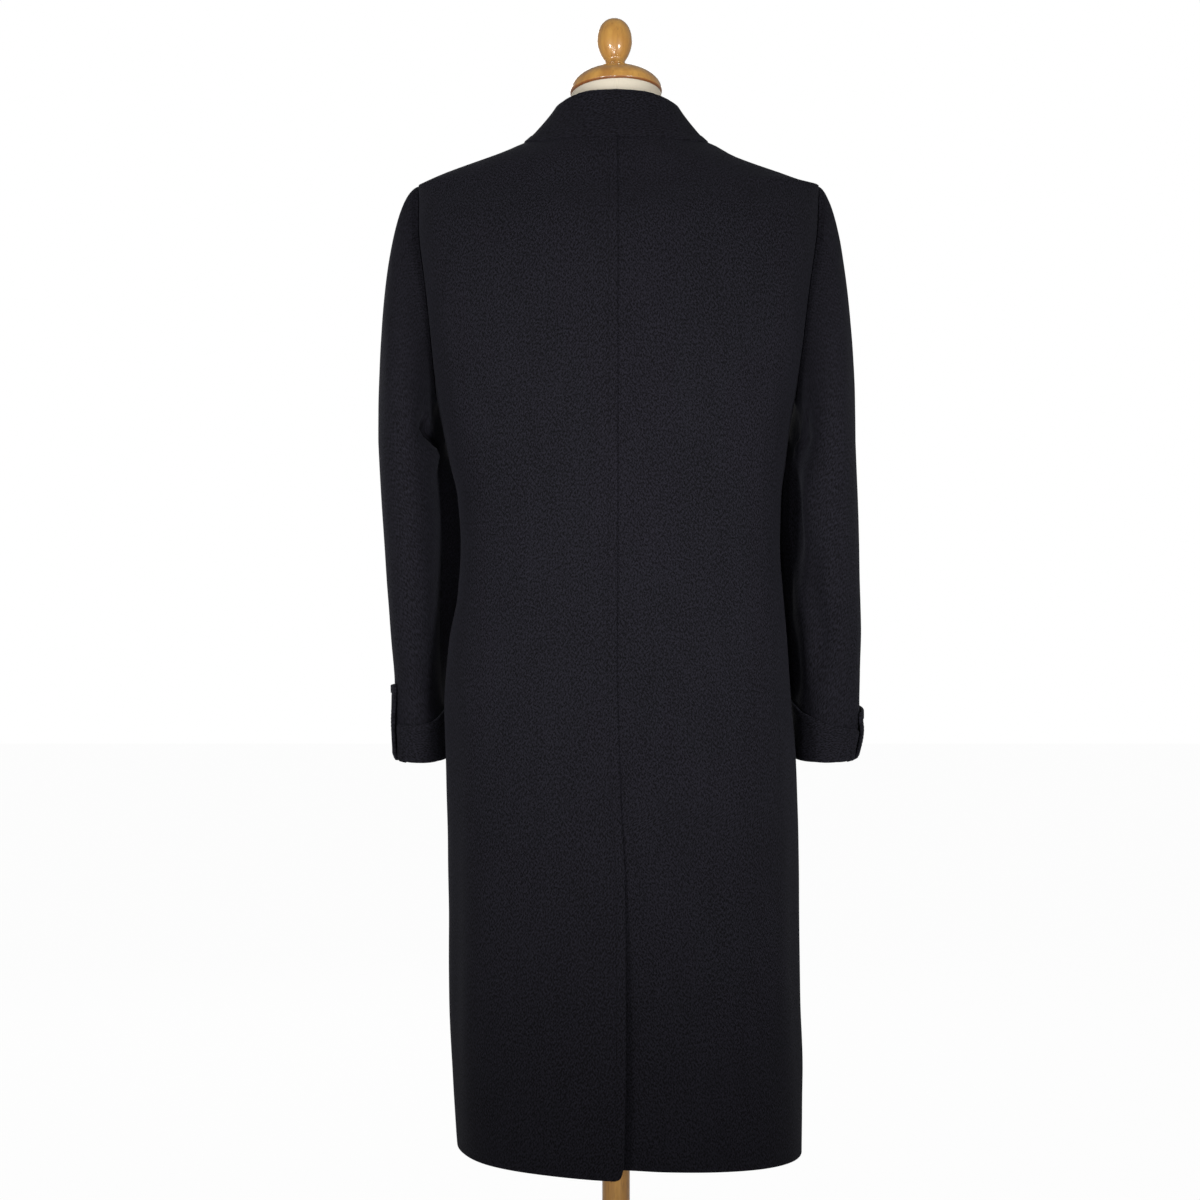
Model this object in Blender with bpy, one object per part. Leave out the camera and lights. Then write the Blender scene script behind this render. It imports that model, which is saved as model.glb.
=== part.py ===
"""Long wool overcoat worn by a limbless tailor's bust on a pole and a round foot.

Metres, +Z up. The origin is the centre of the foot's underside, the coat's front faces -Y
and its wearer's left is +X. Each cut piece of the coat is a closed wall of cloth.
"""

from math import asin, cos, pi, radians, sin, tan

import bmesh
import bpy
from mathutils import Matrix, Vector

# ---------------------------------------------------------------- driving dimensions
CLOTH = 0.0025            # wall of the lined coat cloth
SEAM_GAP = 0.0003         # clearance between neighbouring pieces
LAP_CLEAR = 0.0006        # clearance where one panel lies over another
LAPEL_LIFT = 0.0014       # from a front up to its lapel
LEAF_LIFT = 0.0021        # from the coat up to the collar's leaf
STAND_CLEAR = 0.0015      # from the neck edge up to the collar's stand
SEAM_TURN = 0.0050        # half the gap of a sleeve seam, as a turn about the sleeve

HEM_SIDE = {1: 0.2885, -1: 0.2815}       # the coat hangs a little lower on its right
HEM_BACK = {1: 0.2805, -1: 0.2925}       # at the vent the overlapping panel drops lower
HEM_FRONT = 0.2850
SHOULDER_TIP = 1.3985
NECK_SIDE = 1.4575
NECK_BACK = 1.4520

VENT_TOP = 0.700
SEAM_LAP = 0.014
VENT_LAP = 0.045
FRONT_LAP = 0.030         # each front passes the centre line by this much

BREAK_HEIGHT = 1.170      # lower end of the lapels' roll line
GORGE_HEIGHT = 1.425      # upper end of the lapels' roll line
ROLL_TOP_X = 0.0605

ARMHOLE_BOTTOM = 1.148
ARMHOLE_BACK = 0.062
ARMHOLE_NARROWING = 0.52  # share by which its back narrows towards the shoulder tip
ARMHOLE_FRONT = 0.070

CAP_TILT = radians(10.8)  # the form's neck is cut sloping down to the front
CAP_LEAN = radians(1.5)   # and a little to the left
NECK_TOP = 1.505
NECK_RADIUS = 0.0524
POLE_RADIUS = 0.016
FOOT_RADIUS = 0.200
FOOT_THICKNESS = 0.026
BUST_BOTTOM = 0.800
SHOULDER_DROP = 0.0036    # from the coat's shoulder ridge down to the form's


class Table:
    """Named columns against a first column, read by smooth monotone interpolation."""

    def __init__(self, columns, *rows):
        self.names = columns.split()
        self.rows = rows

    def slope(self, index, column):
        rows = self.rows
        if index in (0, len(rows) - 1):
            near = 1 if index == 0 else len(rows) - 2
            return (rows[near][column] - rows[index][column]) / (rows[near][0] - rows[index][0])
        below = rows[index - 1]
        here = rows[index]
        above = rows[index + 1]
        low = (here[column] - below[column]) / (here[0] - below[0])
        high = (above[column] - here[column]) / (above[0] - here[0])
        if low * high <= 0:
            return 0.0
        return 2 * low * high / (low + high)

    def read(self, key, name):
        column = self.names.index(name)
        rows = self.rows
        key = min(max(key, rows[0][0]), rows[-1][0])
        index = 0
        while index < len(rows) - 2 and key > rows[index + 1][0]:
            index += 1
        start = rows[index]
        end = rows[index + 1]
        span = end[0] - start[0]
        t = (key - start[0]) / span
        return ((1 + 2 * t) * (1 - t) ** 2 * start[column]
                + t * (1 - t) ** 2 * span * self.slope(index, column)
                + t * t * (3 - 2 * t) * end[column]
                + t * t * (t - 1) * span * self.slope(index + 1, column))


# Rings of the coat's body, hem to neck: half widths to the wearer's left and right, depths
# behind and before the shoulder line, and how square the ring is (2 is an ellipse).
BODY = Table(
    "height left right back front square",
    (0.270, 0.1800, 0.2150, 0.166, 0.172, 2.30),
    (0.300, 0.1835, 0.2150, 0.165, 0.171, 2.30),
    (0.370, 0.1880, 0.2150, 0.163, 0.169, 2.30),
    (0.455, 0.1914, 0.2122, 0.160, 0.166, 2.30),
    (0.629, 0.1930, 0.2105, 0.152, 0.158, 2.30),
    (0.740, 0.1960, 0.2076, 0.146, 0.150, 2.30),
    (0.803, 0.1980, 0.2025, 0.141, 0.143, 2.35),
    (0.870, 0.1937, 0.1982, 0.135, 0.136, 2.40),
    (0.926, 0.1838, 0.1930, 0.128, 0.130, 2.40),
    (0.984, 0.1800, 0.1895, 0.121, 0.126, 2.40),
    (1.036, 0.1833, 0.1915, 0.119, 0.127, 2.40),
    (1.084, 0.1945, 0.1975, 0.123, 0.131, 2.45),
    (1.122, 0.2018, 0.2020, 0.128, 0.135, 2.50),
    (1.160, 0.2090, 0.2090, 0.133, 0.137, 2.60),
    (1.220, 0.2165, 0.2185, 0.138, 0.136, 2.80),
    (1.290, 0.2235, 0.2265, 0.137, 0.129, 2.80),
    (1.350, 0.2290, 0.2335, 0.128, 0.116, 2.60),
    (1.3985, 0.2290, 0.2350, 0.096, 0.093, 2.20),
    (1.402, 0.2215, 0.2190, 0.095, 0.091, 2.20),
    (1.410, 0.2030, 0.1960, 0.093, 0.087, 2.22),
    (1.420, 0.1750, 0.1655, 0.091, 0.082, 2.25),
    (1.430, 0.1460, 0.1385, 0.088, 0.076, 2.25),
    (1.440, 0.1185, 0.1190, 0.082, 0.070, 2.20),
    (1.450, 0.0980, 0.0980, 0.078, 0.066, 2.20),
    (1.460, 0.0840, 0.0840, 0.074, 0.063, 2.20),
)

# The overlapping edge of the left back panel, as x against height.
BACK_EDGE = Table(
    "height x",
    (0.280, -0.0045), (0.300, -0.0075), (0.360, -0.0090), (0.450, -0.0098), (0.600, -0.0090),
    (0.700, -0.0040), (0.760, -0.0023), (0.850, 0.0000), (1.000, -0.0010), (1.460, -0.0010),
)

# Sleeves below the biceps: inner and outer edge from the coat's centre line, the section's
# centre fore and aft, its half breadth fore and aft, and how far its inner front bulges
# towards the body.
SLEEVE = {
    1: Table(
        "height inner outer centre breadth fill",
        (0.720, 0.1975, 0.2600, -0.058, 0.058, 0.0000),
        (0.772, 0.1995, 0.2600, -0.052, 0.060, 0.0000),
        (0.820, 0.2050, 0.2595, -0.044, 0.062, 0.0080),
        (0.870, 0.2060, 0.2625, -0.033, 0.066, 0.0240),
        (0.942, 0.2046, 0.2665, -0.016, 0.073, 0.0325),
        (1.000, 0.2035, 0.2700, -0.006, 0.079, 0.0350),
        (1.050, 0.2060, 0.2728, -0.001, 0.084, 0.0335),
        (1.100, 0.2110, 0.2745, 0.001, 0.088, 0.0200),
    ),
    -1: Table(
        "height inner outer centre breadth fill",
        (0.720, 0.2090, 0.2800, -0.056, 0.053, 0.0000),
        (0.745, 0.2095, 0.2835, -0.053, 0.053, 0.0000),
        (0.772, 0.2100, 0.2872, -0.050, 0.054, 0.0000),
        (0.810, 0.2100, 0.2862, -0.045, 0.056, 0.0030),
        (0.870, 0.2080, 0.2865, -0.033, 0.062, 0.0210),
        (0.942, 0.2055, 0.2838, -0.016, 0.070, 0.0245),
        (1.000, 0.2050, 0.2815, -0.006, 0.077, 0.0270),
        (1.050, 0.2080, 0.2790, -0.001, 0.083, 0.0270),
        (1.100, 0.2130, 0.2765, 0.001, 0.088, 0.0180),
    ),
}
SLEEVE_JOIN = 1.100       # where the sleeve head meets the plain tube
SLEEVE_END = 0.7370
SLEEVE_DROOP = 0.0040     # the cuff hangs lower at the back
HIND_SEAM = {1: (radians(60), radians(44)), -1: (radians(60), radians(34))}
FORE_SEAM = (radians(240), radians(232))

# Upper edge of the turned-back cuffs, as height against the turn from the slit.
CUFF_TOP = {
    1: Table("turn height", (0.00, 0.774), (0.16, 0.776), (0.30, 0.790), (0.42, 0.802),
             (0.60, 0.810), (0.80, 0.817), (1.00, 0.822)),
    -1: Table("turn height", (0.00, 0.767), (0.12, 0.772), (0.26, 0.786), (0.42, 0.802),
              (0.62, 0.803), (0.82, 0.796), (1.00, 0.787)),
}
SLEEVE_CROWN = {1: 0.030, -1: 0.021}     # how far the sleeve head swells out at its top
CUFF_SLIT = 0.004
CUFF_RADIUS = 0.045       # mean, where the slit's width becomes a turn
CUFF_LIFT = 0.0012

# The collar, centre back to the notch: the place on the neck edge where its stand is sewn on
# (0 centre back, 1 shoulder, 2 roll line), its fold, and x and height of its leaf's edge.
COLLAR = Table(
    "station neck fold_x fold_y fold_z edge_x edge_z",
    (0.00, 0.000, 0.0000, 0.0660, 1.4993, 0.0000, 1.4430),
    (0.14, 0.223, 0.0290, 0.0600, 1.4988, 0.0330, 1.4430),
    (0.26, 0.444, 0.0480, 0.0490, 1.4955, 0.0600, 1.4422),
    (0.37, 0.645, 0.0615, 0.0335, 1.4910, 0.0820, 1.4407),
    (0.47, 0.790, 0.0680, 0.0195, 1.4875, 0.0965, 1.4420),
    (0.56, 0.910, 0.0708, 0.0070, 1.4840, 0.1035, 1.4445),
    (0.66, 1.060, 0.0718, -0.0080, 1.4790, 0.1068, 1.4460),
    (0.76, 1.260, 0.0712, -0.0260, 1.4710, 0.1095, 1.4425),
    (0.88, 1.600, 0.0655, -0.0520, 1.4545, 0.1140, 1.4280),
    (1.00, 1.930, 0.0595, -0.0725, 1.4345, 0.1120, 1.4090),
)
COLLAR_SHOULDER = 0.66    # the station on top of the shoulder
COLLAR_SPREAD = {1: 0.0, -1: 0.0028}     # its fold stands wider on the right shoulder
COLLAR_FOLD_RADIUS = 0.0021

# Outer edge of a lapel, roll line end first: x and height against the way up it.
LAPEL = Table(
    "way x height",
    (0.00, -0.0240, 1.176), (0.12, 0.0040, 1.200), (0.35, 0.0480, 1.260),
    (0.65, 0.0960, 1.330), (1.00, 0.1330, 1.385),
)

BUTTON_HEIGHTS = (1.135, 1.005, 0.875)
BUTTON_RADIUS = 0.0140
BUTTON_THICKNESS = 0.0045
BUTTON_LIFT = 0.0005      # a button's back stands this far off the left front

# Rings of the form under the coat.
BUST = Table(
    "height half back front square",
    (0.800, 0.150, 0.104, 0.098, 2.20),
    (0.850, 0.158, 0.111, 0.103, 2.20),
    (0.900, 0.156, 0.108, 0.102, 2.20),
    (0.984, 0.142, 0.092, 0.096, 2.20),
    (1.060, 0.152, 0.096, 0.104, 2.25),
    (1.140, 0.170, 0.108, 0.114, 2.30),
    (1.220, 0.188, 0.118, 0.117, 2.40),
    (1.300, 0.200, 0.119, 0.110, 2.40),
    (1.360, 0.210, 0.110, 0.098, 2.40),
    (1.388, 0.2180, 0.0925, 0.0820, 2.18),
)
# From the shoulder slope into the neck, as a share of the way between the two.
NECK_BLEND = Table("height share", (1.444, 0.0), (1.456, 0.42), (1.466, 0.80), (1.480, 1.0))


def mix(start, end, share):
    return start + (end - start) * share


def ease(value, low, high):
    """0 below low, 1 above high and smooth between; low may be the larger."""
    t = min(max((value - low) / (high - low), 0.0), 1.0)
    return t * t * (3 - 2 * t)


# ---------------------------------------------------------------- the coat's body surface
def power(value, exponent):
    return abs(value) ** exponent * (1 if value >= 0 else -1)


def ring(x, height, face):
    """Half width, depth and squareness of the body's ring on this side and face."""
    half = BODY.read(height, "left" if x >= 0 else "right")
    depth = BODY.read(height, "back" if face > 0 else "front")
    return half, depth, BODY.read(height, "square")


def body_point(x, height, face):
    """The body's surface at x and height, on its back (face 1) or its front (face -1)."""
    half, depth, square = ring(x, height, face)
    share = min(abs(x) / half, 1.0)
    return Vector((x, face * depth * (1 - share ** square) ** (1 / square), height))


def body_x(y, height, side):
    """How far out the body lies at y and height, to one side."""
    half, depth, square = ring(side, height, 1 if y >= 0 else -1)
    share = min(abs(y) / depth, 1.0)
    return side * half * (1 - share ** square) ** (1 / square)


def body_normal(point):
    """The surface's normal, as the gradient of the rings' own equation."""
    def level(x, y, z):
        half, depth, square = ring(x, z, 1 if y >= 0 else -1)
        return (abs(x) / half) ** square + (abs(y) / depth) ** square

    x, y, z = point
    half, depth, square = ring(x, z, 1 if y >= 0 else -1)
    step = 0.0005
    return Vector((power(x / half, square - 1) * square / half,
                   power(y / depth, square - 1) * square / depth,
                   (level(x, y, z + step) - level(x, y, z - step)) / (2 * step))).normalized()


def on_body(x, height, face, lift):
    point = body_point(x, height, face)
    return point + body_normal(point) * lift


def raised(point, lift):
    """The point, moved out where it lies less than the lift above the body."""
    if point.z > NECK_SIDE + 0.0030:
        return point
    half, depth, square = ring(point.x, point.z, 1 if point.y >= 0 else -1)
    scale = ((abs(point.x) / half) ** square + (abs(point.y) / depth) ** square) ** (1 / square)
    surface = Vector((point.x / scale, point.y / scale, point.z))
    normal = body_normal(surface)
    height = (point - surface).dot(normal)
    return point + normal * max(lift - height, 0.0)


def roll_x(height):
    """The lapels' roll line: how far the front's edge lies to its own side."""
    return mix(-FRONT_LAP, ROLL_TOP_X, (height - BREAK_HEIGHT) / (GORGE_HEIGHT - BREAK_HEIGHT))


def front_edge_x(height):
    return max(roll_x(height), -FRONT_LAP)


def armhole_point(side, turn):
    """The armhole's edge; the turn runs from the shoulder tip over the back."""
    middle = (SHOULDER_TIP + ARMHOLE_BOTTOM) / 2
    height = middle + (SHOULDER_TIP - ARMHOLE_BOTTOM) / 2 * cos(turn)
    back = ARMHOLE_BACK * (1 - ARMHOLE_NARROWING * (1 + cos(turn)) / 2)
    y = sin(turn) * (back if sin(turn) >= 0 else ARMHOLE_FRONT)
    return Vector((body_x(y, height, side), y, height))


# ---------------------------------------------------------------- meshes
def new_object(name, bm, material, smooth_angle=35):
    mesh = bpy.data.meshes.new(name)
    bm.to_mesh(mesh)
    bm.free()
    mesh.shade_smooth()
    mesh.set_sharp_from_angle(angle=radians(smooth_angle))
    mesh.materials.append(material)
    thing = bpy.data.objects.new(name, mesh)
    bpy.context.scene.collection.objects.link(thing)
    return thing


def closed_wall(name, outer, inner, material, flip=False):
    """A wall between two grids of points, closed round its rim."""
    bm = bmesh.new()
    faces = [[[bm.verts.new(p) for p in row] for row in grid] for grid in (outer, inner)]
    rows = len(outer)
    columns = len(outer[0])

    def quad(a, b, c, d):
        bm.faces.new((a, b, c, d) if not flip else (d, c, b, a))

    out, back = faces
    for r in range(rows - 1):
        for c in range(columns - 1):
            quad(out[r][c], out[r][c + 1], out[r + 1][c + 1], out[r + 1][c])
            quad(back[r + 1][c], back[r + 1][c + 1], back[r][c + 1], back[r][c])
    for c in range(columns - 1):
        quad(back[0][c], back[0][c + 1], out[0][c + 1], out[0][c])
        quad(out[-1][c], out[-1][c + 1], back[-1][c + 1], back[-1][c])
    for r in range(rows - 1):
        quad(out[r][0], out[r + 1][0], back[r + 1][0], back[r][0])
        quad(back[r][-1], back[r + 1][-1], out[r + 1][-1], out[r][-1])
    return new_object(name, bm, material)


def grid_normals(grid):
    """Normals of a grid of points, from the neighbours of each."""
    rows = len(grid)
    columns = len(grid[0])
    normals = []
    for r in range(rows):
        line = []
        for c in range(columns):
            across = grid[r][min(c + 1, columns - 1)] - grid[r][max(c - 1, 0)]
            up = grid[min(r + 1, rows - 1)][c] - grid[max(r - 1, 0)][c]
            line.append(across.cross(up).normalized())
        normals.append(line)
    return normals


# ---------------------------------------------------------------- body panels
PANEL_COLUMNS = 11
SKIRT_ROWS = (0.315, 0.40, 0.50, 0.60, 0.645, 0.70, 0.76, 0.82, 0.88, 0.935, 0.984, 1.035, 1.09)
ARMHOLE_STEPS = 9         # half way round; the sleeves' columns meet the same points
SHOULDER_STEPS = 5
FRONT_PARTING = 0.850     # the left front's solid is in two here, under the hollow of its waist


def panel_rows(side, face, hem_centre, top_centre, lower_centre):
    """Rows of a panel, hem to neck: height at its centre edge, then its end at the side."""
    rows = [(hem_centre, Vector((body_x(0, HEM_SIDE[side], side), 0, HEM_SIDE[side])))]
    rows += [(z, Vector((body_x(0, z, side), 0, z))) for z in SKIRT_ROWS]
    for k in range(ARMHOLE_STEPS, -1, -1):
        end = armhole_point(side, face * pi * k / ARMHOLE_STEPS)
        rows.append((end.z - lower_centre * ease(end.z, 1.25, SHOULDER_TIP), end))
    tip_centre = rows[-1][0]
    for k in range(1, SHOULDER_STEPS + 1):
        share = k / SHOULDER_STEPS
        height = mix(SHOULDER_TIP, NECK_SIDE, share)
        end = Vector((body_x(0, height, side), 0, height))
        rows.append((mix(tip_centre, top_centre, share), end))
    return rows


def panel(name, side, face, rows, edge_x, sink, material):
    """A body panel from its centre edge to its end at the side, sunk where another laps it."""
    outer = []
    inner = []
    for centre_height, end in rows:
        start_x = edge_x(centre_height)
        half, _depth, square = ring(side, end.z, face)
        extent = asin(min(abs(end.x) / half, 1.0) ** (square / 2))
        outer_row = []
        inner_row = []
        for c in range(PANEL_COLUMNS + 1):
            share = sin((c / PANEL_COLUMNS) ** 1.25 * extent) / sin(extent)
            point = body_point(mix(start_x, end.x, share), mix(centre_height, end.z, share), face)
            if c == PANEL_COLUMNS:
                point = end + (outer_row[-1] - end).normalized() * SEAM_GAP / 2
            normal = body_normal(point)
            point = point - normal * sink(point)
            outer_row.append(point)
            inner_row.append(point - normal * CLOTH)
        outer.append(outer_row)
        inner.append(inner_row)
    return closed_wall(name, outer, inner, material, flip=side * face > 0)


def parted(rows, height, side):
    """Rows below and above a level cut, with a seam's gap between them."""
    low, high = (
        (z, Vector((body_x(0, z, side), 0, z)))
        for z in (height - SEAM_GAP / 2, height + SEAM_GAP / 2)
    )
    below = [row for row in rows if row[0] < height]
    above = [row for row in rows if row[0] > height]
    return [*below, low], [high, *above]


def no_sink(_point):
    return 0.0


def back_sink(point):
    """The right back lies under the left one along the centre back."""
    edge = BACK_EDGE.read(point.z, "x")
    return (CLOTH + LAP_CLEAR) * ease(point.x, edge - 0.045, edge - 0.012)


def front_sink(point):
    """The right front lies under the left one along the centre front."""
    edge = front_edge_x(point.z)
    return (CLOTH + LAP_CLEAR) * ease(point.x, edge - 0.055, edge - 0.015)


def back_edge_x(height):
    return BACK_EDGE.read(height, "x")


def under_edge_x(height):
    lap = mix(VENT_LAP, SEAM_LAP, ease(height, VENT_TOP - 0.05, VENT_TOP))
    return back_edge_x(height) + lap


def body_panels(cloth):
    back_drop = 0.0055
    front_drop = 0.0175
    left_rows = panel_rows(1, 1, HEM_BACK[1], NECK_BACK, back_drop)
    right_rows = panel_rows(-1, 1, HEM_BACK[-1], NECK_BACK, back_drop)
    panel("back_left", 1, 1, left_rows, back_edge_x, no_sink, cloth)
    panel("back_right", -1, 1, right_rows, under_edge_x, back_sink, cloth)
    left_rows = panel_rows(1, -1, HEM_FRONT, GORGE_HEIGHT, front_drop)
    right_rows = panel_rows(-1, -1, HEM_FRONT, GORGE_HEIGHT, front_drop)
    skirt_rows, upper_rows = parted(left_rows, FRONT_PARTING, 1)
    panel("front_left", 1, -1, upper_rows, front_edge_x, no_sink, cloth)
    panel("front_left_skirt", 1, -1, skirt_rows, front_edge_x, no_sink, cloth)
    panel("front_right", -1, -1, right_rows, lambda z: -front_edge_x(z), front_sink, cloth)


# ---------------------------------------------------------------- lapels
LAPEL_ROWS = 9
LAPEL_COLUMNS = 5


def lapel_start(side, way):
    """Roll line end of a lapel's row, which the other front's edge cuts short on the right."""
    height = mix(BREAK_HEIGHT + 0.004, GORGE_HEIGHT - 0.004, way)
    x = roll_x(height)
    if side < 0:
        x = max(x, -roll_x(height) + 0.0015)
    return x, height


def lapel(name, side, first_way, material):
    """A lapel lying on its front, from the roll line out to its own edge."""
    outer = []
    inner = []
    for r in range(LAPEL_ROWS + 1):
        way = mix(first_way, 1.0, r / LAPEL_ROWS)
        start_x, start_height = lapel_start(side, way)
        end_x = LAPEL.read(way, "x")
        end_height = LAPEL.read(way, "height")
        outer_row = []
        inner_row = []
        for c in range(LAPEL_COLUMNS + 1):
            share = c / LAPEL_COLUMNS
            x = mix(start_x, end_x, share) * side
            point = body_point(x, mix(start_height, end_height, share), -1)
            normal = body_normal(point)
            lift = LAPEL_LIFT - (front_sink(point) if side < 0 else 0.0)
            inner_row.append(point + normal * lift)
            outer_row.append(point + normal * (lift + CLOTH))
        outer.append(outer_row)
        inner.append(inner_row)
    return closed_wall(name, outer, inner, material, flip=side < 0)


# ---------------------------------------------------------------- sleeves
HEAD_STEPS = 9
TUBE_HEIGHTS = (1.045, 0.995, 0.945, 0.895, 0.845, 0.80, 0.765)
SLEEVE_STEPS = HEAD_STEPS + len(TUBE_HEIGHTS) + 1
# The top sleeves' solids are in two: 0.970 up on the left, 1.100 up on the right.
SLEEVE_PARTING = {1: HEAD_STEPS + 2.5, -1: HEAD_STEPS}


def tube_point(side, height, turn):
    """The sleeve below its head; the turn runs from its outer side over the back."""
    table = SLEEVE[side]
    inner = table.read(height, "inner")
    outer = table.read(height, "outer")
    bulge = 2 * max(0.0, -cos(turn)) * max(0.0, -sin(turn)) * table.read(height, "fill")
    x = (inner + outer) / 2 + (outer - inner) / 2 * power(cos(turn), 0.95) - bulge
    y = table.read(height, "centre") + table.read(height, "breadth") * power(sin(turn), 0.95)
    return Vector((x * side, y, height))


def head_point(side, turn, share):
    """The sleeve head, curving from the armhole out and down to the tube."""
    start = armhole_point(side, turn)
    start.x += side * SEAM_GAP * 1.5
    end = tube_point(side, SLEEVE_JOIN, turn)
    crown = (1 + cos(turn)) / 2
    reach_out = mix(0.0050, SLEEVE_CROWN[side], crown ** 1.5)
    reach_down = mix(-0.010, -0.008, ease(crown, 0.0, 0.5))
    first = start + Vector((side * reach_out, 0.010 * sin(turn), reach_down))
    last = end + Vector((0.0, 0.0, mix(0.020, 0.168, crown)))
    s = share
    return (start * (1 - s) ** 3 + first * 3 * s * (1 - s) ** 2
            + last * 3 * s * s * (1 - s) + end * s ** 3)


def sleeve_end(side, turn):
    return SLEEVE_END - SLEEVE_DROOP * sin(turn)


def sleeve_point(side, turn, step):
    """A sleeve's surface; the step counts rows from the armhole to the cuff."""
    if step <= HEAD_STEPS:
        return head_point(side, turn, step / HEAD_STEPS)
    heights = (SLEEVE_JOIN, *TUBE_HEIGHTS, sleeve_end(side, turn))
    low = min(int(step - HEAD_STEPS), len(heights) - 2)
    height = mix(heights[low], heights[low + 1], step - HEAD_STEPS - low)
    return tube_point(side, height, turn)


def sleeve_normal(side, turn, step):
    little = 0.02
    before = min(step + little, SLEEVE_STEPS)
    after = max(step - little, 0.0)
    along = sleeve_point(side, turn, after) - sleeve_point(side, turn, before)
    round_it = sleeve_point(side, turn + little, step) - sleeve_point(side, turn - little, step)
    return round_it.cross(along).normalized() * side


def sleeve_piece(name, side, first, last, steps, material):
    """One cut of a sleeve between two seams, each given as its turn at armhole and cuff."""
    columns = round((last[0] - first[0]) / (pi / ARMHOLE_STEPS))
    outer = []
    inner = []
    for step in steps:
        share = step / SLEEVE_STEPS
        start = mix(first[0], first[1], share) + SEAM_TURN
        end = mix(last[0], last[1], share) - SEAM_TURN
        outer_row = []
        inner_row = []
        for c in range(columns + 1):
            turn = mix(start, end, c / columns)
            point = sleeve_point(side, turn, step)
            outer_row.append(point)
            inner_row.append(point - sleeve_normal(side, turn, step) * CLOTH)
        outer.append(outer_row)
        inner.append(inner_row)
    return closed_wall(name, outer, inner, material, flip=side > 0)


CUFF_ROWS = 4
CUFF_COLUMNS = 28


def cuff(name, side, material):
    """A cuff turned back over the sleeve's end, open in a slit at the hind-arm seam."""
    half_slit = CUFF_SLIT / 2 / CUFF_RADIUS
    outer = []
    inner = []
    for r in range(CUFF_ROWS + 1):
        outer_row = []
        inner_row = []
        for c in range(CUFF_COLUMNS + 1):
            share = c / CUFF_COLUMNS
            turn = HIND_SEAM[side][1] + half_slit + (2 * pi - 2 * half_slit) * share
            bottom = sleeve_end(side, turn) - 0.0008
            height = mix(bottom, CUFF_TOP[side].read(share, "height"), r / CUFF_ROWS)
            point = tube_point(side, height, turn)
            step = tube_point(side, height, turn + 0.02) - tube_point(side, height, turn - 0.02)
            normal = Vector((step.y, -step.x, 0.0)).normalized() * side
            inner_row.append(point + normal * CUFF_LIFT)
            outer_row.append(point + normal * (CUFF_LIFT + CLOTH))
        outer.append(outer_row)
        inner.append(inner_row)
    return closed_wall(name, outer, inner, material, flip=side < 0)


def sleeves(cloth):
    half_gap = SEAM_GAP / 2 / (TUBE_HEIGHTS[0] - TUBE_HEIGHTS[1])
    for side, word in ((1, "left"), (-1, "right")):
        hind = HIND_SEAM[side]
        fore_before = tuple(turn - 2 * pi for turn in FORE_SEAM)
        parting = SLEEVE_PARTING[side]
        whole = range(SLEEVE_STEPS + 1)
        upper = (*(step for step in whole if step < parting), parting - half_gap)
        lower = (parting + half_gap, *(step for step in whole if step > parting))
        sleeve_piece(f"sleeve_top_{word}", side, fore_before, hind, upper, cloth)
        sleeve_piece(f"sleeve_top_{word}_forearm", side, fore_before, hind, lower, cloth)
        sleeve_piece(f"sleeve_under_{word}", side, hind, FORE_SEAM, whole, cloth)
        cuff(f"cuff_{word}", side, cloth)


# ---------------------------------------------------------------- collar
COLLAR_STATIONS = 15      # from centre back to each end


def neck_point(side, way):
    """The neck edge of the body: 0 at centre back, 1 at the shoulder, 2 at the roll line."""
    shoulder = body_x(0, NECK_SIDE, side)
    if way <= 1:
        share = sin(way * pi / 2)
        return body_point(shoulder * share, mix(NECK_BACK, NECK_SIDE, share), 1)
    share = way - 1
    x = mix(shoulder, ROLL_TOP_X * side, share)
    return body_point(x, mix(NECK_SIDE, GORGE_HEIGHT, share), -1)


def collar_line(side, station):
    """The middle of the collar's wall across it: stand, fold and leaf, as 3-D points."""
    read = COLLAR.read
    way = read(station, "neck")
    seam = neck_point(side, way)
    seam_normal = body_normal(seam)
    tangent = neck_point(side, way + 0.02) - neck_point(side, max(way - 0.02, -0.02))
    into_neck = tangent.cross(seam_normal).normalized() * side
    stand = seam - seam_normal * CLOTH / 2 + into_neck * STAND_CLEAR
    edge = body_point(read(station, "edge_x") * side, read(station, "edge_z"),
                      1 if station < COLLAR_SHOULDER else -1)
    spread = ease(station, 0.20, 0.50) * ease(station, 0.90, 0.72) * COLLAR_SPREAD[side]
    fold = Vector(((read(station, "fold_x") + spread) * side, read(station, "fold_y"),
                   read(station, "fold_z")))
    out = Vector((edge.x - fold.x, edge.y - fold.y, 0)).normalized()
    up = Vector((0, 0, 1))
    centre = fold - up * (COLLAR_FOLD_RADIUS + CLOTH / 2)
    line = [stand, stand.lerp(centre - out * COLLAR_FOLD_RADIUS, 0.5)]
    for degrees in (180, 135, 90, 45, 10):
        turn = radians(degrees)
        line.append(centre + (out * cos(turn) + up * sin(turn)) * COLLAR_FOLD_RADIUS)
    start = line[-1]
    heading = edge - start
    sag = heading.length * 0.06
    for share in (0.25, 0.5, 0.75, 1.0):
        bulge = 4 * share * (1 - share)
        point = start + heading * share - (out * 0.7 + up * 0.7) * sag * bulge
        line.append(raised(point, LEAF_LIFT + CLOTH / 2))
    return line


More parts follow.
